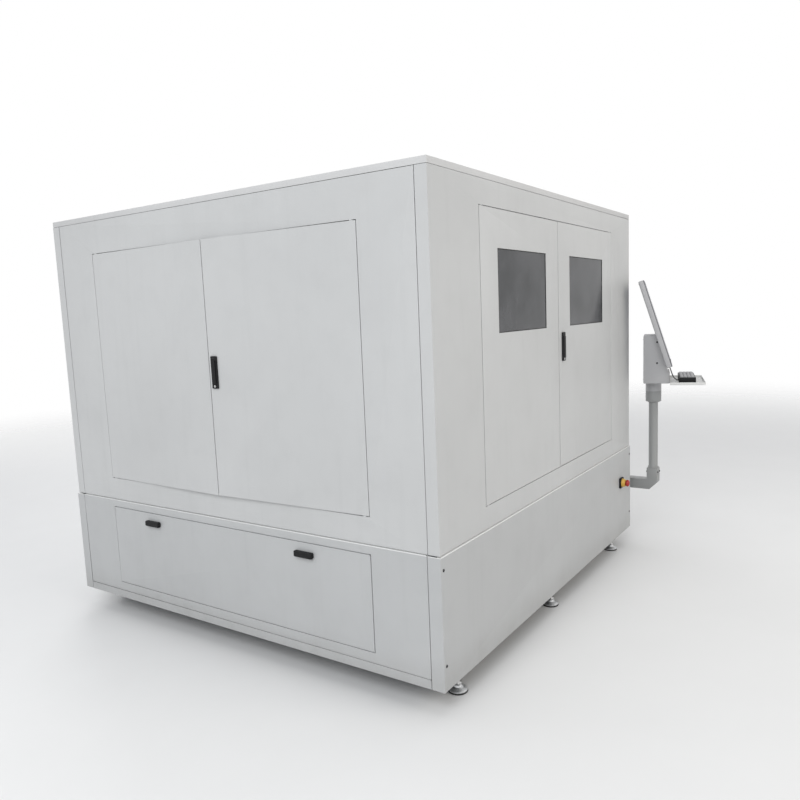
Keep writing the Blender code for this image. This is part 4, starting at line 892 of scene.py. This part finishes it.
def add_cross_rails():
    """The cross rails and the stops at their ends, the head's lift motor and carriage screws."""
    stop_half, stop_gap, stop_inset = 0.009, 0.012, 0.030
    for node in ("upper_cross_rail", "lower_cross_rail"):
        add_rail(node, 0)
    rail_low, rail_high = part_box("upper_cross_rail")
    beam_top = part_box("gantry_beam")[1].z
    beam_bottom = beam_top - 0.160
    stops = [block((x - stop_half, rail_low.y + 0.001, z - 0.012),
                   (x + stop_half, rail_high.y + fit_gap, z + 0.012), 0.002)
             for x in (rail_low.x - stop_gap, rail_high.x + stop_gap)
             for z in (beam_bottom + stop_inset, beam_top - stop_inset)]
    piece("cross_rail_stops", gather(*stops), milled_aluminium, "gantry_beam")
    add_servo("head_lift_motor")
    low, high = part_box("carriage")
    xs = (low.x + 0.012, low.x + 0.058, high.x - 0.058, high.x - 0.012)
    zs = (beam_bottom + 0.016, beam_bottom + 0.044, beam_top - 0.044, beam_top - 0.016)
    add_screws("carriage_screws", heads(xs, [low.y + 0.012], zs, front), 0.0048, 0.0042,
               "carriage", dark_steel, socket_screw)


def add_cutting_head():
    """The cutting head: fibre connector, collimator, focus unit, cover glass drawer, nozzle."""
    full, neck, fibre, groove = 0.0338, 0.022, 0.016, 0.0012
    low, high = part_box("cutting_head")
    middle = middle_of("cutting_head")
    place = Matrix.Translation((middle.x, middle.y, 0))
    bottom, top = (end.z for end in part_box("head_slide"))
    body = [(0, high.z - 0.026), (fibre + 0.002, high.z - 0.026), (fibre + 0.002, top + 0.034),
            (fibre + 0.004, top + 0.032), (fibre + 0.004, top + 0.018), (full - 0.004, top + 0.012),
            (full, top + 0.008)]
    for drop in (0.062, 0.068, 0.088, 0.094, 0.112):
        z = top - drop
        body += [(full, z + 0.0012), (full - groove, z + 0.0004), (full - groove, z - 0.0004),
                 (full, z - 0.0012)]
    body += [(full, bottom - 0.010), (full - 0.003, bottom - 0.016), (neck + 0.003, bottom - 0.028),
             (neck + 0.003, bottom - 0.062), (neck, bottom - 0.066), (neck, low.z + 0.020),
             (neck - 0.004, low.z + 0.014), (neck - 0.004, low.z + 0.0095), (0, low.z + 0.0095)]
    piece("cutting_head_body", turned(body, 64, place), anodised_silver, "cutting_head", True)

    rib, rib_depth, rib_count = 0.0026, 0.0014, 9
    ribs = []
    for index in range(rib_count):
        z = high.z - 0.002 - index * rib
        ribs += [(fibre, z), (fibre, z - rib / 2), (fibre - rib_depth, z - rib / 2),
                 (fibre - rib_depth, z - rib)]
    connector = [(0, high.z), (fibre - 0.003, high.z), *ribs,
                 (fibre - rib_depth, high.z - 0.0262), (0, high.z - 0.0262)]
    piece("fibre_connector", turned(connector, 48, place), motor_black, "cutting_head")

    ring_radius = neck - 0.0045
    insulator = [(0, low.z + 0.0094), (ring_radius, low.z + 0.0094), (ring_radius, low.z + 0.0004),
                 (0, low.z + 0.0004)]
    piece("ceramic_ring", turned(insulator, 48, place), ceramic_white, "cutting_head")
    drawer = gather(
        block((-0.030, -0.029, bottom - 0.058), (0.030, -0.016, bottom - 0.034), 0.002),
        block((-0.0255, -0.0315, bottom - 0.0535), (0.0255, -0.0285, bottom - 0.0385), 0.001))
    piece("cover_glass_drawer", moved(drawer, place), dark_steel, "cutting_head")

    fittings, collars = [], []
    for angle, drop in ((-35, 0.044), (215, 0.050)):
        out = Vector((math.cos(math.radians(angle)), math.sin(math.radians(angle)), 0))
        start = out * (neck + 0.001) + Vector((0, 0, bottom - drop))
        fittings.append(rod(0.0058, start, start + out * 0.009, 6, 0.0006))
        fittings.append(rod(0.0044, start + out * 0.009, start + out * 0.017, 20, 0.0006))
        collars.append(rod(0.0050, start + out * 0.0165, start + out * 0.0200, 20, 0.0008))
    piece("gas_fittings", moved(gather(*fittings), place), brass, "cutting_head")
    piece("gas_fitting_collars", moved(gather(*collars), place), black_plastic, "cutting_head")

    rim, thread_root = 0.0140, 0.0134
    tip, neck_z = (end.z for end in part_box("nozzle"))
    profile = [(0, neck_z), (0.0128, neck_z), (rim, neck_z - 0.0010)]
    for index in range(7):
        z = neck_z - 0.0020 - index * 0.0016
        profile += [(rim, z), (thread_root, z - 0.0008)]
    profile += [(rim, neck_z - 0.0136), (0.0136, tip + 0.0145), (0.0052, tip + 0.0012),
                (0.0044, tip), (0.0016, tip), (0.0013, tip + 0.006), (0, tip + 0.006)]
    piece("nozzle_turned", turned(profile, 64, place), nozzle_copper, "nozzle", True)

    slide_front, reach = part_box("carriage")[0].y - 0.0143, 0.056
    zs = (bottom + 0.016, bottom + 0.062, bottom + 0.108, top - 0.016)
    bolts = heads((middle.x - reach, middle.x + reach), [slide_front], zs, front)
    add_screws("head_slide_screws", bolts, 0.0042, 0.0038, "head_slide", dark_steel, socket_screw)


def add_fume_outlet():
    """The fume collar: rolled edge, stiffening bead and eight flange screws."""
    outer, inner, flange, flange_face, bead = 0.0997, 0.0967, 0.125, 0.0043, 0.0022
    screw_circle, screw_count = 0.1130, 8
    low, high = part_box("fume_outlet")
    middle = middle_of("fume_outlet")
    wall = cabinet_rear - upper_inset
    end, back = high.y - wall, low.y - wall
    profile = [(inner, end - 0.001), (inner + 0.0008, end), (outer - 0.0008, end),
               (outer, end - 0.001), (outer, end - 0.0190), (outer - bead, end - 0.0205),
               (outer - bead, end - 0.0235), (outer, end - 0.0250), (outer, 0.0075),
               (outer + 0.0022, 0.0045), (flange - 0.0006, flange_face), (flange, 0.0038),
               (flange, 0.0004), (outer, 0.0004), (outer, back), (inner, back),
               (inner, end - 0.001)]
    collar = turned(profile, 96, facing((middle.x, wall, middle.z), rear))
    piece("fume_collar", collar, zinc, "fume_outlet", True)
    spots = []
    for index in range(screw_count):
        angle = (index + 0.5) * math.tau / screw_count
        out = Vector((math.cos(angle), 0, math.sin(angle)))
        spots.append((Vector((middle.x, wall + flange_face, middle.z)) + screw_circle * out, rear))
    add_screws("fume_flange_screws", spots, 0.0052, 0.0030, "fume_outlet", bright_steel)


def add_power_inlet():
    """The gland plate with its hexagon glands, blanked with caps, and corner screws."""
    thickness, gland_reach, screw_x, screw_z = 0.006, 0.040, 0.070, 0.040
    low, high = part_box("power_inlet")
    middle = middle_of("power_inlet")
    face = low.y + thickness
    plate = block(low, (high.x, face, high.z), 0.0012)
    piece("gland_plate", plate, zinc, "power_inlet", True)
    gland = gather(rod(0.0208, (0, 0, 0), (0, 0, 0.0085), 6, 0.0014),
                   turned([(0, 0.0190), (0.0158, 0.0190), (0.0172, 0.0175), (0.0172, 0.0086),
                           (0, 0.0086)], 12),
                   turned([(0, 0.0258), (0.0086, 0.0258), (0.0104, 0.0245), (0.0120, 0.0192),
                           (0, 0.0190)], 32))
    places = [facing((middle.x + x, face, middle.z), rear) for x in (-gland_reach, gland_reach)]
    piece("cable_glands", repeat(gland, places), black_plastic, "power_inlet")
    spots = heads((middle.x - screw_x, middle.x + screw_x), [face],
                  (middle.z - screw_z, middle.z + screw_z), rear)
    add_screws("gland_plate_screws", spots, 0.0046, 0.0028, "power_inlet", bright_steel)


def add_panel_screws():
    """Screws along the base panels and on the rear and right panels."""
    base_edge, upper_edge, rise = 0.018, 0.022, 0.020
    panel_screw = (0.0055, 0.0024)
    left_x, right_x = corner.x + base_edge, cabinet_right - base_edge
    spots = heads((left_x, right_x), [corner.y], (base_bottom + 0.098, base_top - 0.050), front)
    add_screws("front_base_screws", spots, 0.0062, 0.0026, "front_lower_panel", dark_steel)
    spots = heads(spread(left_x, right_x, 7), [cabinet_rear],
                  (base_bottom + upper_edge, base_top - upper_edge), rear)
    add_screws("rear_base_screws", spots, *panel_screw, "rear_lower_panel", zinc)
    low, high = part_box("rear_upper_panel")
    left_x, right_x = low.x + upper_edge, high.x - upper_edge
    bottom, top = low.z + rise, high.z - rise
    spots = heads(spread(left_x, right_x, 7), [high.y], (bottom, top), rear)
    spots += heads((left_x, right_x), [high.y], spread(bottom, top, 5)[1:-1], rear)
    add_screws("rear_upper_screws", spots, *panel_screw, "rear_upper_panel", zinc)
    for node, name in (("right_upper_panel", "right_upper_screws"),
                       ("right_lower_panel", "right_base_screws")):
        low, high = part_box(node)
        spots = heads([high.x], spread(low.y + rise, high.y - rise, 6),
                      (low.z + upper_edge, high.z - upper_edge), right)
        add_screws(name, spots, *panel_screw, node, zinc)


def add_louvre_hoods():
    """Pressed hoods over the louvres in the rear base panel."""
    first, pitch, count, start, end = 0.300, 0.026, 6, 0.421, 0.679
    section = ((-0.0060, 0.0012), (-0.0072, 0.0002), (-0.0070, -0.0010), (-0.0058, 0.0000),
               (0.0002, 0.0108), (0.0002, 0.0122))
    hood = extruded([(y, first + z) for y, z in section], 0, start, end)
    piece("louvre_hoods", moved(row(hood, count, pitch), face_place("rear")), lower_white,
          "rear_lower_panel")


def add_lamp_bars():
    """Two sealed lamp bars under the enclosure's top ring, front and rear."""
    width, cap, drop, start, end = 0.040, 0.012, 0.022, corner.x + 0.350, corner.x + 1.950
    low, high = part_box("enclosure_frame")
    z = high.z - 0.052
    for name, y in (("front_lamp_bar", low.y + 0.055), ("rear_lamp_bar", high.y - 0.095)):
        caps = [block((x0, y + 0.002, z - drop), (x1, y + width - 0.002, z), 0.002)
                for x0, x1 in ((start - cap, start + 0.004), (end - 0.004, end + cap))]
        housing = gather(block((start, y, z - 0.008), (end, y + width, z + 0.0015), 0.002), *caps)
        cover = block((start + 0.004, y + 0.004, z - 0.021),
                      (end - 0.004, y + width - 0.004, z - 0.0075), 0.006)
        piece(name, housing, milled_aluminium, "enclosure_frame")
        piece(name + "_cover", cover, lamp_cover, "enclosure_frame")


def add_emergency_stop():
    """The emergency stop's box, its yellow collar and the mushroom head."""
    base_depth, screw_x, screw_z = 0.012, 0.0215, 0.0235
    node = "emergency_stop_box"
    low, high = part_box(node)
    middle = middle_of(node)
    face = high.y - base_depth
    base = block((low.x, face, low.z), high, 0.0028, 3)
    piece("stop_base", base, black_plastic, node, True)
    collar = turned([(0.0106, 0.0200), (0.0185, 0.0200), (0.0200, 0.0186), (0.0225, 0.0100),
                     (0.0252, 0.0030), (0.0256, 0.0008), (0.0256, -0.0004)], 56,
                    facing((middle.x, face, middle.z), front))
    piece("stop_collar", collar, yellow_plastic, node)
    spots = heads((middle.x - screw_x, middle.x + screw_x), [face],
                  (middle.z - screw_z, middle.z + screw_z), front)
    add_screws("stop_base_screws", spots, 0.0028, 0.0012, node, dark_steel)
    tall = low.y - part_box("emergency_stop_button")[0].y
    head = [(0, tall), (0.0060, tall - 0.0003), (0.0120, tall - 0.0016), (0.0165, tall - 0.0040),
            (0.0190, tall - 0.0070), (0.0200, tall - 0.0105), (0.0200, tall - 0.0135),
            (0.0192, 0.0056), (0.0100, 0.0054), (0.0096, -0.0098), (0, -0.0098)]
    head = turned(head, 56, facing((middle.x, low.y, middle.z), front))
    piece("stop_head", head, red_plastic, "emergency_stop_button", True)


def add_column():
    """The console's column, its socket and foot ring, and the arm's wall flanges and bolts."""
    column_radius, foot_radius, socket_radius = 0.0270, 0.0310, 0.0460
    low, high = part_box("console_column")
    socket = high.z - 0.071
    profile = [(0, high.z), (0.0445, high.z), (socket_radius, high.z - 0.0015),
               (socket_radius, socket + 0.012), (0.0445, socket + 0.0085),
               (0.0290, socket + 0.0006), (0.0272, socket - 0.001),
               (column_radius, socket - 0.004), (column_radius, low.z + 0.0105),
               (0.0280, low.z + 0.0085), (0.0305, low.z + 0.0078), (foot_radius, low.z + 0.0068),
               (foot_radius, low.z), (0, low.z)]
    tube = turned(profile, 96, Matrix.Translation((column.x, column.y, 0)))
    piece("column_tube", tube, column_grey_and_shade, "console_column", True)

    # Flanges where the arm's two brackets meet the wall
    bracket_starts, bracket_width, flange_depth, rim = (0.058, 0.290), 0.120, 0.006, 0.018
    arm_z = base_bottom + 0.220
    wall = cabinet_right + fit_gap
    plates, studs = [], []
    for start in bracket_starts:
        y0, y1 = corner.y + start, corner.y + start + bracket_width
        plates.append(ring_strip((y0 - rim, y1 + rim, arm_z - 0.016, arm_z + 0.080),
                                 (y0 + 0.0005, y1 - 0.0005, arm_z + 0.0105, arm_z + 0.0535),
                                 wall, wall + flange_depth))
        studs += heads([wall + flange_depth], (y0 - 0.008, y1 + 0.008),
                       (arm_z - 0.006, arm_z + 0.070), right)
    swap_x_and_y = Matrix(((0, 1, 0, 0), (1, 0, 0, 0), (0, 0, 1, 0), (0, 0, 0, 1)))
    flanges = moved(gather(*plates), swap_x_and_y)
    bmesh.ops.recalc_face_normals(flanges, faces=flanges.faces[:])
    round_off(flanges, 0.0008, 1)
    piece("arm_wall_flanges", flanges, column_grey_and_shade, "console_arm")
    add_screws("arm_flange_screws", studs, 0.0052, 0.0046, "console_arm", zinc, socket_screw)
    elbow = []
    for y, out in ((column.y - 0.032, front), (column.y + 0.032, rear)):
        elbow += heads((column.x - 0.020, column.x + 0.020), [y], [arm_z + 0.112], out)
    add_screws("arm_elbow_screws", elbow, 0.0050, 0.0042, "console_arm", dark_steel, socket_screw)
    ys = [corner.y + y for y in (0.088, 0.148, 0.320, 0.380)]
    add_screws("arm_wall_screws", heads([column.x + 0.033], ys, [arm_z + 0.032], right),
               0.0060, 0.0050, "console_arm", zinc, socket_screw)


def add_console():
    """The console box's screws, and vents drawn as black strips of painted shade."""
    half, back, screw_zs = 0.130, 0.058, (1.245, 1.120)
    sides = heads([-half], [-0.020], screw_zs, left) + heads([half], [-0.020], screw_zs, right)
    add_screws("console_side_screws", sides, 0.0058, 0.0026, "console_box", dark_steel,
               on=console_place)
    spots = heads((-0.112, 0.112), [back], (1.020, 1.262), rear)
    add_screws("console_back_screws", spots, 0.0042, 0.0022, "console_box", zinc,
               on=console_place)
    # Vent slots drawn as thin black strips: painted shade for the dark inside of the slots.
    vent_shade = block((-0.055, 0.0576, 1.120), (0.055, 0.0586, 1.1245), 0.0004, 1)
    piece("console_vent_shadows", moved(row(vent_shade, 8, 0.012), console_place), black_plastic, "console_box")


def add_monitor():
    """The monitor's shell, bezel, screen, buttons, lamp, vents as black strips of painted shade, and rear screws.
    """
    half, tall, deep, rim = 0.240, 0.530, 0.034, 0.024
    edge, overlap, play, screw_inset = 0.0015, 0.001, 0.0003, 0.014
    place = monitor_place
    face = -deep + 0.002

    def opening(grow):
        return grown((-half + rim, half - rim, rim, tall - rim), grow)

    def sheet_in(grow, front_y, back_y, *rounding):
        x0, x1, z0, z1 = opening(grow)
        return moved(block((x0, front_y, z0), (x1, back_y, z1), *rounding), place)

    shell = block((-half, -deep + 0.0035, 0), (half, 0, tall), 0.007, 4)
    piece("monitor_shell", moved(shell, place), console_grey_and_shade, "monitor", True)
    bezel = ring_strip(grown((-half, half, 0, tall), -edge), opening(0), -deep + 0.0100, -deep)
    piece("monitor_bezel", moved(round_off(bezel, 0.0018, 3), place), bezel_grey, "monitor")
    piece("screen_backing", sheet_in(overlap, face + 0.0002, face + 0.0012), black_plastic,
          "monitor")
    piece("screen", sheet_in(-play, face - 0.0013, face - 0.0001, 0.0003, 1), screen_glass,
          "monitor")
    button = turned([(0, 0.0010), (0.0030, 0.0010), (0.0036, 0.0004), (0.0036, -0.0004)], 20)
    places = [facing((0.110 + index * 0.018, -deep, rim / 2), front) for index in range(5)]
    piece("monitor_buttons", moved(repeat(button, places), place), black_plastic, "monitor")
    lamp = turned([(0, 0.0008), (0.0016, 0.0008), (0.0020, 0.0003), (0.0020, -0.0004)], 16,
                  facing((0.206, -deep, rim / 2), front))
    piece("monitor_lamp", moved(lamp, place), lamp_cover, "monitor")
    # Vent slots drawn as thin black strips: painted shade for the dark inside of the slots.
    vent_shade = block((-0.150, -0.0006, 0.420), (0.150, 0.0006, 0.4235), 0.0003, 1)
    piece("monitor_vent_shadows", moved(row(vent_shade, 7, 0.010), place), black_plastic, "monitor")
    spots = heads((-half + screw_inset, half - screw_inset), [0], (0.016, tall - 0.016), rear)
    add_screws("monitor_back_screws", spots, 0.0034, 0.0012, "monitor", dark_steel, on=place)


def add_keyboard():
    """A keyboard case and its caps: plain keys in four rows, with the space bar in front."""
    half, front_y, back_y, bottom, top = 0.170, -0.2353, -0.1433, 0.9986, 1.0386
    pitch, rows, gap, border, cap_height = 0.0190, 4, 0.0011, 0.006, 0.0062
    case = block((-half, front_y, bottom), (half, back_y, top - 0.003), 0.0035, 3)
    piece("keyboard_case", moved(case, console_place), black_plastic, "keyboard", True)
    space_row = [1.25, 1.25, 1.25, 5.5, 1.25, 1.25, 1.25, 1, 1, 1, 1]
    deep = (back_y - front_y - 2 * border) / rows
    caps = {}
    for line in range(rows):
        y = front_y + border + deep * (line + 0.5)
        widths = [1] * 17 if line else space_row
        x = -sum(widths) * pitch / 2
        for width in widths:
            at = Matrix.Translation((x + width * pitch / 2, y, top - 0.0034))
            caps.setdefault(width, []).append(at)
            x += width * pitch
    shapes = []
    for width, places in sorted(caps.items()):
        reach_x, reach_y = width * pitch / 2 - gap, deep / 2 - gap
        cap = block((-reach_x, -reach_y, 0), (reach_x, reach_y, cap_height), 0.0012)
        shapes.append((cap, places))
    # The caps' light grey is painted sheen on the keyboard's top.
    piece("key_caps", moved(repeat_all(shapes), console_place), key_sheen_grey, "keyboard")


for finish in (lower_white, cabinet_white, roof_white, tray_white):
    for node in node_finishes[finish]:
        add_sheet(node)
for node in ("console_arm", "console_box", "keyboard_lead"):
    add_smooth(node)
for side in ("left", "right"):
    add_window(f"front_{side}_door", f"front_{side}_window")
    add_rail(side + "_guide_rail", 1)
    add_rack(side + "_rack", side + "_gantry_motor")
add_doorway_seal("front_doorway_seal", "front", ("front_left_door", "front_right_door"),
                 "front_upper_panel")
add_doorway_seal("side_doorway_seal", "left", ("side_rear_door", "side_front_door"),
                 "left_upper_panel")
for door in ("front_left_door", "side_rear_door"):
    add_edge_seal(door)
for lock in ("front_door_lock", "side_door_lock"):
    add_lock_details(lock)
for node in nodes:
    if node.endswith("_foot"):
        add_foot(node)
add_gantry_ends()
add_cross_rails()
add_cutting_head()
add_fume_outlet()
add_power_inlet()
add_panel_screws()
add_louvre_hoods()
add_lamp_bars()
add_emergency_stop()
add_column()
add_console()
add_monitor()
add_keyboard()


def add_camera():
    """The camera at the photograph's viewing angle, whose frame is 800 pixels wide."""
    frame_width, focal_length, shift_right, shift_up = 800, 718.83, -1.6, 4.19
    data = bpy.data.cameras.new("camera")
    camera = bpy.data.objects.new("camera", data)
    bpy.context.scene.collection.objects.link(camera)
    camera.location = spot(-2.1057, -1.2811, 1.4855)
    camera.rotation_euler = [math.radians(angle) for angle in (82.68, 2.322, -56.285)]
    data.sensor_width = 36
    data.lens = focal_length * data.sensor_width / frame_width
    data.shift_x = shift_right / frame_width
    data.shift_y = shift_up / frame_width
    data.clip_start = 0.05
    data.clip_end = 100
    bpy.context.scene.camera = camera


def add_lamp(name, place, aim, size, power, colour=(1, 1, 1)):
    """A rectangular lamp, turned to the point that it lights."""
    data = bpy.data.lights.new(name, "AREA")
    data.shape = "RECTANGLE"
    data.size, data.size_y = size
    data.energy = power
    data.color = colour
    lamp = bpy.data.objects.new(name, data)
    bpy.context.scene.collection.objects.link(lamp)
    lamp.location = place
    lamp.rotation_euler = (Vector(aim) - Vector(place)).to_track_quat("-Z", "Y").to_euler()


def add_world():
    """Even grey light all round, and white for what the camera, metal and glass see."""
    light, seen = (0.50, 0.51, 0.525), (1, 1, 1)
    world = bpy.data.worlds.new("studio")
    bpy.context.scene.world = world
    tree = Tree(world)
    path = tree.node("ShaderNodeLightPath", {}, {})
    camera, glossy, through = tree.outputs(
        path, ("Is Camera Ray", "Is Glossy Ray", "Is Transmission Ray"))
    to_eye = camera.math("MAXIMUM", glossy).math("MAXIMUM", through)
    tree.join(tree.blend(to_eye, light, seen), tree.nodes["Background"].inputs["Color"])


def add_floor():
    """A pale floor that fades into the white backdrop."""
    radius, fade_start, fade_end, drop = 14, 4.0, 11.0, 0.0005
    bm = bmesh.new()
    bmesh.ops.create_circle(bm, cap_ends=True, segments=96, radius=radius)
    mesh = bpy.data.meshes.new("floor")
    bm.to_mesh(mesh)
    bm.free()
    floor = bpy.data.objects.new("floor", mesh)
    floor.location = (0, 0, -drop)
    bpy.context.scene.collection.objects.link(floor)
    finish = Finish("pale_floor")
    x, y = finish.axes()[:2]
    reach = ((x * x) + (y * y)).math("SQRT")
    cloud = finish.noise(3.0, 4.0)
    finish.set(colour=finish.blend(cloud, (0.80, 0.80, 0.80), (0.83, 0.83, 0.83)), roughness=0.6)
    clear = finish.node("ShaderNodeBsdfTransparent", {}, {})
    shaded = Number(finish, finish.shader.outputs[0])
    sockets = {0: reach.step(fade_start, fade_end), 1: shaded, 2: clear}
    fade = finish.node("ShaderNodeMixShader", {}, sockets)
    finish.join(fade, finish.nodes["Material Output"].inputs["Surface"])
    mesh.materials.append(finish.material)


add_camera()
add_world()
add_floor()
add_lamp("key_lamp", (-7.0, -2.0, 5.5), (0, 0, 0.9), (5.0, 4.0), 300, (0.975, 0.99, 1.0))
add_lamp("front_lamp", (0.0, -7.5, 4.5), (0, 0, 0.9), (5.0, 3.5), 150, (1.0, 0.94, 0.84))
add_lamp("rear_lamp", (3.5, 6.5, 5.0), (0, 0, 1.0), (4.0, 3.0), 120)
add_lamp("sky_lamp", (0.0, 0.0, 7.5), (0, 0, 0), (6.0, 6.0), 90)

bpy.context.scene.view_settings.view_transform = "Standard"
